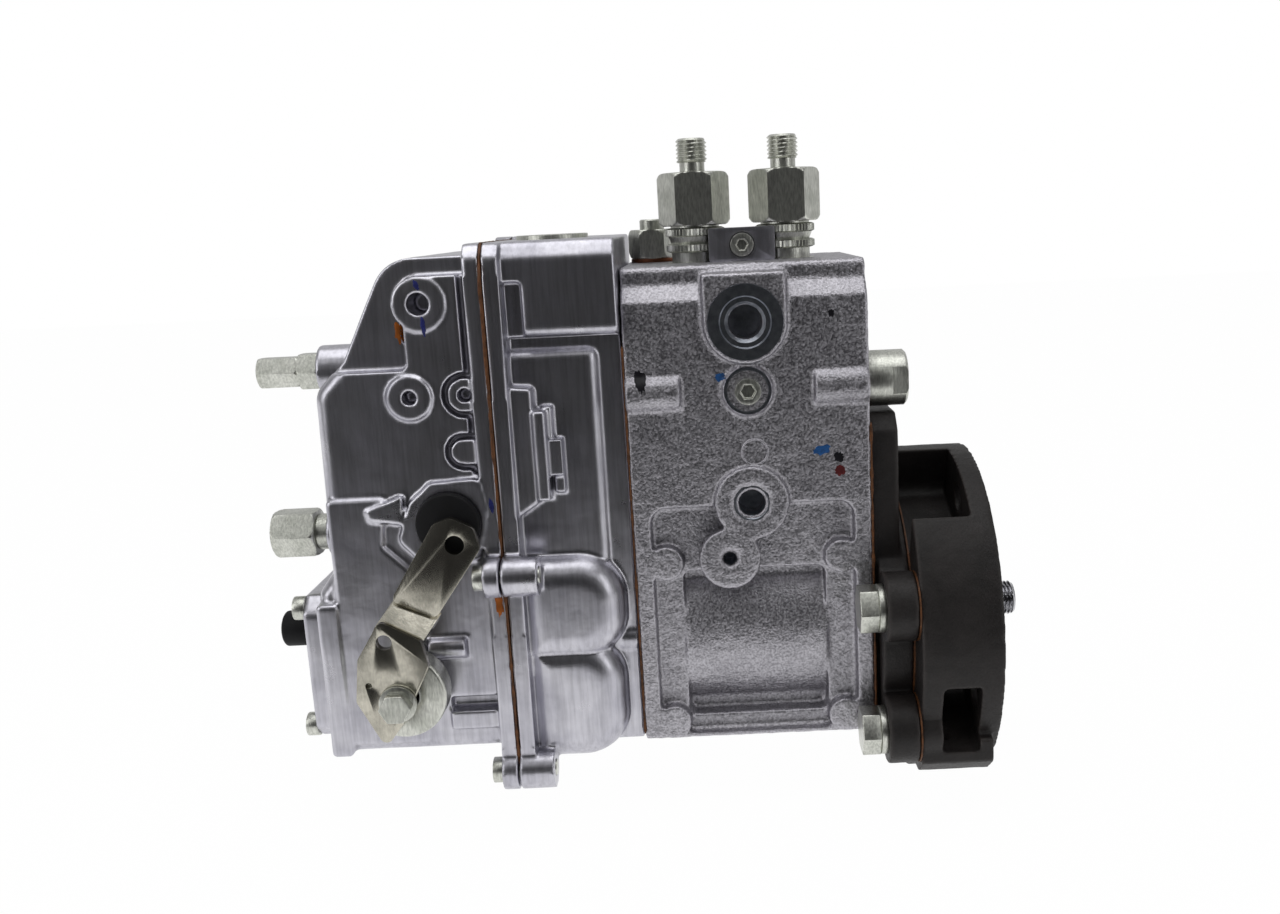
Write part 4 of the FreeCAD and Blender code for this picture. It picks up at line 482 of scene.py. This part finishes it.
def lathe(name, rows, turn_steps, centre, axis="z"):
    """A turned piece from (radius, height, kind) rows; kind cuts a thread or splines into a row."""
    depth = details().thread_depth
    pitch = details().thread_pitch
    spline_depth = 0.5 * MM
    verts = []
    for radius, height, kind in rows:
        for step in range(turn_steps):
            angle = 2 * math.pi * step / turn_steps
            r = radius
            if kind == "thread":
                phase = (height / pitch - angle / (2 * math.pi)) % 1.0
                r = radius - depth * abs(2 * phase - 1)
            elif kind == "spline":
                r = radius - spline_depth * (step % 2)
            point = along_axis(axis, r * math.cos(angle), r * math.sin(angle), height)
            verts.append(point + Vector(centre))
    return mesh_piece(name, verts, ring_faces(len(rows), turn_steps))


def thread_rows(radius, low, high):
    """Rows close enough together to show each turn of a thread."""
    rows_a_turn = 8
    step = details().thread_pitch / rows_a_turn
    count = int((high - low) / step)
    return [(radius, low + i * (high - low) / count, "thread") for i in range(count + 1)]


def hexagon(name, across, low, high, centre, axis, chamfer):
    """A hexagon bar with its corners turned off at both ends.

    `over` lets the corners reach their full width between the two chamfers.
    """
    corner = across / math.sqrt(3)
    inner = across / 2
    sides, curve_steps, over = 96, 6, 1.02
    rise = [chamfer * i / curve_steps for i in range(curve_steps + 1)]
    heights = [low + step for step in rise] + [high - chamfer + step for step in rise]
    verts = []
    for height in heights:
        lift = min(height - low, high - height) / chamfer
        limit = inner + (corner - inner) * min(1.0, max(0.0, lift)) ** 0.5 * over
        for step in range(sides):
            angle = 2 * math.pi * step / sides
            flat = inner / math.cos((angle % (math.pi / 3)) - math.pi / 6)
            r = min(flat, limit)
            verts.append(along_axis(axis, r * math.cos(angle), r * math.sin(angle), height) + Vector(centre))
    count = len(heights)
    faces = ring_faces(count, sides)
    faces.append(tuple(range(sides)))
    faces.append(tuple((count - 1) * sides + step for step in range(sides)))
    return sharpened(mesh_piece(name, verts, faces), 25)


def turned_rows(rows):
    """Plain rows for the lathe from (radius, height) in mm."""
    return [(radius * MM, height * MM, None) for radius, height in rows]


def port_face(name, x, z, face, outer, bore, depth, ring):
    """A turned port face on the pump's front, with its spot-faced ring, chamfer and bore, all in mm."""
    proud, chamfer, floor_radius = 0.3, 1.2, 0.2
    sunk = face - 2 * proud
    rows = [
        (outer + 0.4, face - 0.8), (outer, face + proud), (ring + 0.5, face + proud), (ring, face - proud),
        (bore + chamfer, sunk + proud), (bore, sunk + proud - chamfer),
        (bore, sunk - depth), (floor_radius, sunk - depth),
    ]
    return sharpened(lathe(name, turned_rows(rows), 64, (x * MM, 0, z * MM), "y"), 20)


def holder_rows(foot, top):
    """The turned outline of a delivery valve holder, from its root up to the outlet and down its bore."""
    root, neck, groove, ring, outlet, bore = 11.2, 9.4, 10.4, 11.4, 6.0, 1.5
    housing_top, ring_edge = 143.5, 0.5
    rows = [(outlet * MM, foot, None), (root * MM, foot, None)]
    rows += turned_rows([(root, housing_top - 0.1), (neck, housing_top), (neck, 147.2)])
    for start, end in ((147.4, 150.6), (153.2, 156.6)):
        rows += [
            (groove * MM, start * MM, None),
            (ring * MM, (start + ring_edge) * MM, "spline"), (ring * MM, (end - ring_edge) * MM, "spline"),
            (groove * MM, end * MM, None), (neck * MM, (end + 0.1) * MM, None),
        ]
    rows += turned_rows([(neck, 157.4), (8.0, 176.9), (7.6, 177.2), (4.8, 177.8), (4.8, 181.0)])
    rows += thread_rows(outlet * MM, 181.2 * MM, 189.2 * MM)
    rows += [(4.9 * MM, top, None), (3.4 * MM, top, None), (bore * MM, top - 3.0 * MM, None)]
    return rows + turned_rows([(bore, 160), (outlet, 156)]) + [(outlet * MM, foot, None)]


def dab(name, skin, x, z, across, tall, seed, lean):
    """An uneven dab laid on the surface that faces the front at that place."""
    rng = random.Random(seed)
    rings, sides = 4, 20
    ray_start, thick, edge_sink = -0.3, 0.16, -0.05
    edge = [1 + rng.uniform(-0.28, 0.16) for _ in range(sides)]
    verts = []
    for ring in range(rings + 1):
        for side in range(sides):
            angle = 2 * math.pi * side / sides
            share = ring / rings * edge[side]
            u, v = share * across / 2 * math.cos(angle), share * tall / 2 * math.sin(angle)
            px = (x + u * math.cos(lean) - v * math.sin(lean)) * MM
            pz = (z + u * math.sin(lean) + v * math.cos(lean)) * MM
            hit, spot, normal, _ = skin.ray_cast(Vector((px, ray_start, pz)), Vector((0, 1, 0)))
            if not hit:
                raise ValueError(f"{name} reaches past the surface that it lies on")
            lift = thick if ring < rings else edge_sink
            verts.append(spot + normal * lift * MM)
    return mesh_piece(name, verts, ring_faces(rings + 1, sides))


def joined(name, pieces):
    """Several meshes as one piece."""
    bm = bmesh.new()
    for piece in pieces:
        bm.from_mesh(piece.data)
    mesh = bpy.data.meshes.new(name)
    bm.to_mesh(mesh)
    bm.free()
    whole = bpy.data.objects.new(name, mesh)
    bpy.context.scene.collection.objects.link(whole)
    for piece in pieces:
        bpy.data.objects.remove(piece)
    return sharpened(whole, 32)


def bead(name, points, half_width, seed):
    """An uneven ribbon of sealant along a joint, thin at both ends."""
    rng = random.Random(seed)
    spacing, wave, sides = 1.2 * MM, 4 * MM, 8
    fine = []
    for start, end in zip(points, points[1:]):
        start, end = Vector(start), Vector(end)
        steps = max(1, int((end - start).length / spacing))
        fine += [start.lerp(end, step / steps) for step in range(steps)]
    fine.append(Vector(points[-1]))
    last = len(fine) - 1
    verts = []
    for i, point in enumerate(fine):
        along = (fine[min(i + 1, last)] - fine[max(i - 1, 0)]).normalized()
        side = along.cross(Vector((1, 0, 0)))
        if side.length < 0.1:
            side = along.cross(Vector((0, 1, 0)))
        side.normalize()
        up = along.cross(side).normalized()
        swell = 0.55 + 0.75 * (noise.noise(point / wave + Vector((seed, 0, 0))) + 0.5)
        swell += rng.uniform(-0.1, 0.1)
        width = half_width * max(0.25, swell)
        if i in (0, last):
            width *= 0.2
        for k in range(sides):
            angle = 2 * math.pi * k / sides
            verts.append(point + side * math.cos(angle) * width * 0.55 + up * math.sin(angle) * width)
    ends = [tuple(range(sides)), tuple(last * sides + k for k in range(sides))]
    return mesh_piece(name, verts, ring_faces(len(fine), sides) + ends)


def low_lug(piece, whole):
    """Sinks the rear upper flange lug to where the photograph has it, level with the governor's top."""
    lug_y, reach = 30 * MM, 11 * MM
    governor_top, above_lug = 155.2 * MM, 0.12
    screw_foot, drop = 148 * MM, 6.0 * MM
    for vertex in piece.data.vertices:
        near = abs(vertex.co.y - lug_y) < reach
        if whole and near and vertex.co.z > screw_foot:
            vertex.co.z -= drop
        elif near and not whole and vertex.co.z > governor_top:
            vertex.co.z = governor_top + above_lug * (vertex.co.z - governor_top)
    piece.data.update()


def body_of(node):
    """The body that the record puts a node on."""
    for body, members in frame["record"]["behaviour"]["bodies"].items():
        if node in members:
            return body
    return "housing"


def slot_of(node):
    """The material slot that the record gives a node."""
    for row in frame["record"]["subparts"]:
        if row["node"] == node:
            return row["material_slot"]


def middle_of(node):
    """A node's lowest and highest corner, and the centre line that runs along X."""
    low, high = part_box(node)
    return low, high, (0.0, (low.y + high.y) / 2, (low.z + high.z) / 2)


def half_of(node, number, middle):
    """One of the two equal springs that a node holds, as its own piece; the first is on the left."""
    piece = copied(node, f"{node}_{number}")
    bm = bmesh.new()
    bm.from_mesh(piece.data)
    spare = [vertex for vertex in bm.verts if (vertex.co.x > middle) != (number == 2)]
    bmesh.ops.delete(bm, geom=spare, context="VERTS")
    bm.to_mesh(piece.data)
    bm.free()
    return piece


def sprung(piece, node):
    """Gives a spring piece the spring-steel finish, bakes its place into its mesh and hides the solid it was
    copied from.
    """
    piece.data.materials.clear()
    piece.data.materials.append(FINISHES["spring_steel"])
    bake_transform(piece)
    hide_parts(node)


# Operators


class PUMP_OT_castings(bpy.types.Operator):
    """Give the castings their rounded edges and as-cast surfaces"""
    bl_idname = "pump.castings"
    bl_label = "Castings"

    def execute(self, context):
        sand, die = details().sand_voxel, details().die_voxel
        # node, voxel, smoothing rounds, height and size of the surface's unevenness in mm
        plan = (
            ("pump_housing", sand, 3, 0.16, 2.6),
            ("governor_housing", die, 3, 0.08, 9.0),
            ("governor_cover", die, 3, 0.08, 9.0),
            ("end_cover", die, 2, 0.05, 9.0),
            ("bearing_plate", sand, 2, 0.12, 4.0),
            ("engine_adapter", sand, 2, 0.10, 4.0),
        )
        for node, voxel, rounds, lumps, lump_size in plan:
            piece = cast_skin(node, voxel, rounds, lumps, lump_size)
            if node.startswith("governor"):
                low_lug(piece, False)
            dressed(piece, "housing", slot_of(node))
            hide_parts(node)
            SKINS[node] = piece
        return {"FINISHED"}


class PUMP_OT_machined(bpy.types.Operator):
    """Break the edges of the fittings, bolts and pressed pieces"""
    bl_idname = "pump.machined"
    bl_label = "Machined pieces"

    def execute(self, context):
        # width of each node's broken edges in mm
        plan = {
            "holder_clamp": 0.5, "holder_clamp_screw": 0.25, "bleed_screw": 0.3,
            "overflow_washer": 0.3, "rack_cap": 0.7, "adapter_bolts": 0.6, "adapter_bolt_washers": 0.3,
            "governor_top_plug": 0.4, "end_cover_screws": 0.3, "shut_off_cap": 0.8, "governor_bolts": 0.3,
            "control_lever": 0.45, "lever_bolt_and_washer": 0.4, "lever_spring_cup": 0.5,
            "round_plug": 0.9,
        }
        for node, width in plan.items():
            piece = broken_edges(node, width)
            if node == "governor_bolts":
                low_lug(piece, True)
            dressed(piece, body_of(node), slot_of(node))
            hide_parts(node)
            SKINS[node] = piece
        return {"FINISHED"}


class PUMP_OT_stops(bpy.types.Operator):
    """Turn the stop caps, their nut and the overflow fitting with their chamfered hexagons"""
    bl_idname = "pump.stops"
    bl_label = "Stop caps"

    def execute(self, context):
        nut_across, cap_across, cap_length = 13 * MM, 11 * MM, 15.5 * MM
        idle_across, idle_length, union_across = 17 * MM, 17 * MM, 17 * MM
        low, high, centre = middle_of("full_load_nut")
        nut = [hexagon("nut", nut_across, low.x, high.x, centre, "x", 1.0 * MM)]
        low, high, centre = middle_of("full_load_cap")
        step = low.x + cap_length
        stud_radius = 3.9 * MM
        stud = [(4.0 * MM, step - 1 * MM, None), (stud_radius, step, None)]
        stud += [(stud_radius, step + 0.2 * MM, None), (stud_radius, high.x, None)]
        cap = [
            hexagon("cap", cap_across, low.x, step, centre, "x", 1.1 * MM),
            lathe("stud", stud, 32, centre, "x"),
        ]
        low, high, centre = middle_of("idle_cap")
        rim = low.x + idle_length
        outline = ((0.5, -0.5), (6.6, 0), (7, 0.4), (7, 5), (0.5, 5))
        collar = [(r * MM, rim + h * MM, None) for r, h in outline]
        idle = [
            hexagon("cap", idle_across, low.x + 0.3 * MM, rim, centre, "x", 1.7 * MM),
            lathe("collar", collar, 48, centre, "x"),
        ]
        low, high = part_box("overflow_fitting")
        centre = ((low.x + high.x) / 2, (low.y + high.y) / 2, 0.0)
        foot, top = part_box("overflow_washer")[1].z, high.z - 4 * MM
        core, stem_radius, crown_radius = 0.5, 5.9, 4.9
        stem = [(core, low.z), (stem_radius, low.z), (stem_radius, foot), (core, foot)]
        crown = [(crown_radius, top - MM), (crown_radius, high.z - 0.5 * MM), (4.3, high.z), (core, high.z)]
        union = [
            hexagon("union", union_across, foot, top, centre, "z", 2.6 * MM),
            lathe("stem", [(r * MM, z, None) for r, z in stem], 32, centre, "z"),
            lathe("crown", [(r * MM, z, None) for r, z in crown], 32, centre, "z"),
        ]
        plan = {"overflow_fitting": union, "full_load_nut": nut, "full_load_cap": cap, "idle_cap": idle}
        for node, pieces in plan.items():
            whole = joined(f"{node}_detailed", pieces)
            dressed(whole, "housing", slot_of(node))
            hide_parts(node)
            SKINS[node] = whole
        return {"FINISHED"}


class PUMP_OT_ports(bpy.types.Operator):
    """Turn the port faces and raise the cast ring on the pump housing"""
    bl_idname = "pump.ports"
    bl_label = "Port faces"

    def execute(self, context):
        low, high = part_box("pump_housing")
        middle = (low.x + high.x) / 2 / MM
        front = 42.0
        # name, x, height, face, outer radius, bore radius, depth and ring radius in mm
        plan = (
            ("inlet_face", middle, 123.0, front + 5.0, 13.6, 6.2, 12.0, 9.0),
            ("bleed_face", middle, 98.0, front + 2.0, 8.6, 5.1, 1.6, 7.2),
            ("lower_port_face", middle, 56.0, front + 2.0, 12.6, 4.9, 11.0, 8.0),
            ("small_port_face", middle - 9.0, 35.0, front + 2.0, 10.4, 2.5, 10.0, 5.2),
        )
        for name, x, z, face, outer, bore, depth, ring in plan:
            piece = port_face(name, x, z, face, outer, bore, depth, ring)
            dressed(piece, "housing", "sand_cast_aluminium", FINISHES["machined"])
        ring_x, ring_height = -86.9 * MM, 74.9 * MM
        rows = [(4.2, 41.7), (4.5, 42.5), (5.0, 42.5), (5.4, 41.7)]
        mark = lathe("cast_ring", turned_rows(rows), 48, (ring_x, 0, ring_height), "y")
        dressed(mark, "housing", "sand_cast_aluminium")
        return {"FINISHED"}


class PUMP_OT_shaft(bpy.types.Operator):
    """Cut the thread on the camshaft's drive end"""
    bl_idname = "pump.shaft"
    bl_label = "Camshaft thread"

    def execute(self, context):
        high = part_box("camshaft")[1]
        root, crest, thread_length = 6.1 * MM, 7.0 * MM, 17.5 * MM
        start = high.x - thread_length
        shaft = broken_edges("camshaft", 0.3)
        for vertex in shaft.data.vertices:
            radius = math.hypot(vertex.co.y, vertex.co.z)
            if vertex.co.x > start and radius > root:
                vertex.co.y *= root / radius
                vertex.co.z *= root / radius
        rows = [(root, start, None)]
        rows += [(crest, x, kind) for _, x, kind in thread_rows(crest, start + 0.5 * MM, high.x - 1.0 * MM)]
        rows += [(root, high.x - 0.2 * MM, None), (0.5 * MM, high.x, None)]
        thread = lathe("shaft_thread", rows, 64, (0, 0, 0), "x")
        whole = joined("camshaft_threaded", [shaft, thread])
        dressed(whole, "camshaft", slot_of("camshaft"))
        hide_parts("camshaft")
        return {"FINISHED"}


class PUMP_OT_springs(bpy.types.Operator):
    """Copy the springs inside as their own pieces, the paired ones split in two, with the spring-steel
    finish
    """
    bl_idname = "pump.springs"
    bl_label = "Springs"

    def execute(self, context):
        for node, mover in (("delivery_valve_springs", "valve"), ("plunger_springs", "tappet")):
            low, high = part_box(node)
            middle = (low.x + high.x) / 2
            for number in (1, 2):
                piece = half_of(node, number, middle)
                sprung(piece, node)
        low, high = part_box("governor_spring")
        piece = copied("governor_spring", "governor_spring_live")
        sprung(piece, "governor_spring")
        return {"FINISHED"}


class PUMP_OT_dabs(bpy.types.Operator):
    """Dab the inspection paint and the sealant runs onto the castings"""
    bl_idname = "pump.dabs"
    bl_label = "Paint and smears"

    def execute(self, context):
        # node, paint, x, height, width, length and lean, in mm and radians
        first_seed = 11
        plan = (
            ("pump_housing", "black paint", -57.6, 124.5, 2.6, 3.0, 0.0),
            ("pump_housing", "black paint", -127.4, 103.1, 4.6, 9.5, 0.1),
            ("pump_housing", "blue paint", -98.6, 103.2, 4.2, 3.6, 0.0),
            ("pump_housing", "blue paint", -62.2, 74.5, 7.4, 4.0, 0.2),
            ("pump_housing", "black paint", -56.0, 71.5, 4.0, 4.4, 0.0),
            ("pump_housing", "red paint", -55.8, 66.6, 4.6, 4.4, 0.0),
            ("governor_cover", "violet paint", -203.2, 141.6, 2.0, 4.2, 0.4),
            ("governor_cover", "violet paint", -202.0, 127.6, 2.0, 8.0, 0.05),
            ("governor_cover", "violet paint", -183.2, 61.6, 2.0, 6.4, 0.15),
            ("governor_cover", "smear", -212.6, 124.6, 3.6, 8.4, 0.1),
            ("governor_cover", "smear", -183.3, 24.7, 3.4, 11.0, 0.05),
        )
        for number, (node, paint, x, z, across, tall, lean) in enumerate(plan):
            piece = dab(f"dab_{number + 1}", SKINS[node], x, z, across, tall, first_seed + number, lean)
            dressed(piece, "housing", slot_of(node), FINISHES[paint])
        return {"FINISHED"}


class PUMP_OT_holders(bpy.types.Operator):
    """Build the delivery valve holders with their splines, hexagons and threads"""
    bl_idname = "pump.holders"
    bl_label = "Delivery valve holders"

    def execute(self, context):
        low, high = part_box("delivery_valve_holders")
        corner = (high.y - low.y) / 2 / math.cos(math.pi / 6)
        hex_across, hex_low, hex_high = 24 * MM, 157.3 * MM, 177.3 * MM
        pieces = []
        for x in (low.x + corner, high.x - corner):
            centre = (x, 0, 0)
            pieces.append(sharpened(lathe("stem", holder_rows(low.z, high.z), 96, centre), 40))
            pieces.append(hexagon("nut", hex_across, hex_low, hex_high, centre, "z", 2.0 * MM))
        whole = joined("delivery_valve_holders_detailed", pieces)
        dressed(whole, "housing", "zinc_steel")
        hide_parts("delivery_valve_holders")
        return {"FINISHED"}


class PUMP_OT_sealant(bpy.types.Operator):
    """Lay the brown sealant that squeezed out of the joints"""
    bl_idname = "pump.sealant"
    bl_label = "Sealant"

    def execute(self, context):
        housing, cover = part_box("pump_housing"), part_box("governor_cover")
        left, right = housing[0].x - 0.2 * MM, housing[1].x + 0.2 * MM
        seam = cover[1].x + 0.3 * MM
        front, foot, first_seed = -0.0418, -0.034, 3
        lines = {
            "sealant_housing": ([(left, front, foot), (left, front, 0.116)], 1.0),
            "sealant_plate": ([(right, front, foot), (right, front, 0.084)], 1.1),
            "sealant_cover": ([
                (seam, -0.054, -0.036), (seam, -0.0542, 0.142), (seam, -0.050, 0.1505),
                (seam, -0.0455, 0.155), (seam, 0.042, 0.155), (seam, 0.054, 0.143), (seam, 0.054, -0.038),
            ], 1.1),
        }
        for number, (name, (points, share)) in enumerate(lines.items()):
            piece = bead(name, points, share * details().bead, first_seed + number)
            dressed(piece, "housing", "gasket")
        return {"FINISHED"}


class PUMP_OT_finishes(bpy.types.Operator):
    """Give every remaining solid its finish"""
    bl_idname = "pump.finishes"
    bl_label = "Finishes"

    def execute(self, context):
        slots = {row["node"]: row["material_slot"] for row in frame["record"]["subparts"]}
        for node, piece in frame["nodes"].items():
            piece.data.materials.clear()
            piece.data.materials.append(FINISHES[slots[node]])
            sharpened(piece, 30)
        return {"FINISHED"}


class PUMP_OT_stage(bpy.types.Operator):
    """Set up the floor, studio light and camera"""
    bl_idname = "pump.stage"
    bl_label = "Stage"

    def execute(self, context):
        floor()
        studio()
        camera()
        return {"FINISHED"}


def floor():
    """A white table that ends in front of the pump, plain white to the lens and to metal."""
    low, _ = CAD_BOX
    size, front, level = 3.0, -0.27, low[2] - 0.001
    verts = [(-size, front, level), (size, front, level), (size, size, level), (-size, size, level)]
    piece = mesh_piece("floor", verts, [(0, 1, 2, 3)])
    material = bpy.data.materials.new("matt_white_table")
    material.use_nodes = True
    tree = material.node_tree
    tree.nodes.clear()
    paint = add(tree, "ShaderNodeBsdfDiffuse", {"Color": (0.9, 0.9, 0.9, 1.0)})
    bright = add(tree, "ShaderNodeEmission", {"Color": (1.0, 1.0, 1.0, 1.0), "Strength": 1.0})
    seen = add(tree, "ShaderNodeLightPath")
    near = add(tree, "ShaderNodeMath", {"operation": "MAXIMUM"}, {
        0: seen.outputs["Is Camera Ray"], 1: seen.outputs["Is Glossy Ray"],
    })
    either = add(tree, "ShaderNodeMath", {"operation": "MAXIMUM"}, {
        0: near.outputs[0], 1: seen.outputs["Is Transmission Ray"],
    })
    # a little of the paint shows, so the pump's contact shadow stays
    share = add(tree, "ShaderNodeMath", {"operation": "MULTIPLY", 1: 0.985}, {0: either.outputs[0]})
    mix = add(tree, "ShaderNodeMixShader", links={
        "Fac": share.outputs[0], 1: paint.outputs[0], 2: bright.outputs[0],
    })
    add(tree, "ShaderNodeOutputMaterial", links={"Surface": mix.outputs[0]})
    piece.data.materials.append(material)


def lamp(name, place, aim, size, power):
    """A rectangular soft box that faces a point."""
    light = bpy.data.lights.new(name, "AREA")
    light.shape = "RECTANGLE"
    light.size, light.size_y = size
    light.energy = power
    holder = bpy.data.objects.new(name, light)
    bpy.context.scene.collection.objects.link(holder)
    holder.location = place
    holder.rotation_euler = (Vector(aim) - Vector(place)).to_track_quat("-Z", "Y").to_euler()


def studio():
    """Soft boxes above and at both sides, and a world that is white behind the pump."""
    aim = (-0.12, 0.0, 0.06)
    lamp("top_softbox", (-0.15, -0.15, 0.95), aim, (1.0, 0.7), 3.6)
    lamp("left_softbox", (-0.95, -0.55, 0.45), aim, (0.5, 0.8), 1.8)
    lamp("right_softbox", (0.7, -0.6, 0.35), aim, (0.35, 0.8), 1.0)
    world = bpy.data.worlds.new("studio")
    bpy.context.scene.world = world
    world.use_nodes = True
    tree = world.node_tree
    tree.nodes.clear()
    seen = add(tree, "ShaderNodeLightPath")
    direction = add(tree, "ShaderNodeTexCoord").outputs["Generated"]
    parts = add(tree, "ShaderNodeSeparateXYZ", links={"Vector": direction})
    # -Y is behind the lens: a dim room, a ring of soft boxes round it, and a grey backdrop behind the pump
    share = add(tree, "ShaderNodeMapRange", {"From Min": -1.0, "From Max": 1.0}, {
        "Value": parts.outputs["Y"],
    })
    room_levels = add(tree, "ShaderNodeValToRGB", links={"Fac": share.outputs[0]})
    stops = room_levels.color_ramp.elements
    for place, level in ROOM_LEVELS:
        stops.new(place).color = grey(level)
    stops.remove(stops[0])
    stops.remove(stops[-1])
    strength = add(tree, "ShaderNodeMath", {"operation": "MULTIPLY", 1: SOFT_BOX_STRENGTH}, {
        0: room_levels.outputs["Color"],
    })
    near = add(tree, "ShaderNodeMath", {"operation": "MAXIMUM"}, {
        0: seen.outputs["Is Camera Ray"], 1: seen.outputs["Is Transmission Ray"],
    })
    diffuse = add(tree, "ShaderNodeBackground", {"Color": (0.5, 0.5, 0.51, 1.0), "Strength": 1.0})
    room = add(tree, "ShaderNodeBackground", {"Color": (1.0, 1.0, 1.0, 1.0)}, {
        "Strength": strength.outputs[0],
    })
    white = add(tree, "ShaderNodeBackground", {"Color": (1.0, 1.0, 1.0, 1.0), "Strength": 1.0})
    glossy = add(tree, "ShaderNodeMixShader", links={
        "Fac": seen.outputs["Is Glossy Ray"], 1: diffuse.outputs[0], 2: room.outputs[0],
    })
    both = add(tree, "ShaderNodeMixShader", links={
        "Fac": near.outputs[0], 1: glossy.outputs[0], 2: white.outputs[0],
    })
    add(tree, "ShaderNodeOutputWorld", links={"Surface": both.outputs[0]})
    bpy.context.scene.view_settings.view_transform = "Standard"


def camera():
    """The lens position, tilt and roll of the photograph."""
    view = bpy.context.scene.pump_camera
    data = bpy.data.cameras.new("photo_camera")
    data.sensor_width = SENSOR_WIDTH
    data.lens = view.focal_px / PHOTO_WIDTH * SENSOR_WIDTH
    data.shift_x = (PHOTO_WIDTH / 2 - view.centre_px) / PHOTO_WIDTH
    data.clip_start = 0.01
    eye = bpy.data.objects.new("photo_camera", data)
    bpy.context.scene.collection.objects.link(eye)
    forward = Vector((0, math.cos(view.pitch), -math.sin(view.pitch)))
    level_up = Vector((0, math.sin(view.pitch), math.cos(view.pitch)))
    level_right = Vector((1, 0, 0))
    turn_cos, turn_sin = math.cos(view.roll), math.sin(view.roll)
    right = level_right * turn_cos - level_up * turn_sin
    up = level_right * turn_sin + level_up * turn_cos
    frame_matrix = Matrix((right, up, -forward)).transposed().to_4x4()
    frame_matrix.translation = Vector(view.place)
    eye.matrix_world = frame_matrix
    bpy.context.scene.camera = eye


class PUMP_PT_panel(bpy.types.Panel):
    """Lists the steps of the dressing"""
    bl_label = "Injection pump"
    bl_space_type = "VIEW_3D"
    bl_region_type = "UI"
    bl_category = "Pump"

    def draw(self, context):
        for step in STEPS:
            self.layout.operator(step.bl_idname)


STEPS = (
    PUMP_OT_finishes, PUMP_OT_castings, PUMP_OT_machined, PUMP_OT_stops, PUMP_OT_holders, PUMP_OT_shaft,
    PUMP_OT_springs, PUMP_OT_ports, PUMP_OT_sealant, PUMP_OT_dabs, PUMP_OT_stage,
)
GROUPS = {"pump_camera": PumpCamera, "pump_colours": PumpColours, "pump_details": PumpDetails}


def register():
    """Adds the settings, the steps and the panel to Blender."""
    for group in GROUPS.values():
        bpy.utils.register_class(group)
    for name, group in GROUPS.items():
        setattr(bpy.types.Scene, name, PointerProperty(type=group))
    for step in STEPS:
        bpy.utils.register_class(step)
    bpy.utils.register_class(PUMP_PT_panel)


def unregister():
    """Takes them out again."""
    bpy.utils.unregister_class(PUMP_PT_panel)
    for step in reversed(STEPS):
        bpy.utils.unregister_class(step)
    for name, group in GROUPS.items():
        delattr(bpy.types.Scene, name)
        bpy.utils.unregister_class(group)


def main():
    """Runs every step."""
    register()
    FINISHES.update(finishes())
    for step in STEPS:
        group, name = step.bl_idname.split(".")
        getattr(getattr(bpy.ops, group), name)()


if __name__ == "__main__":
    main()
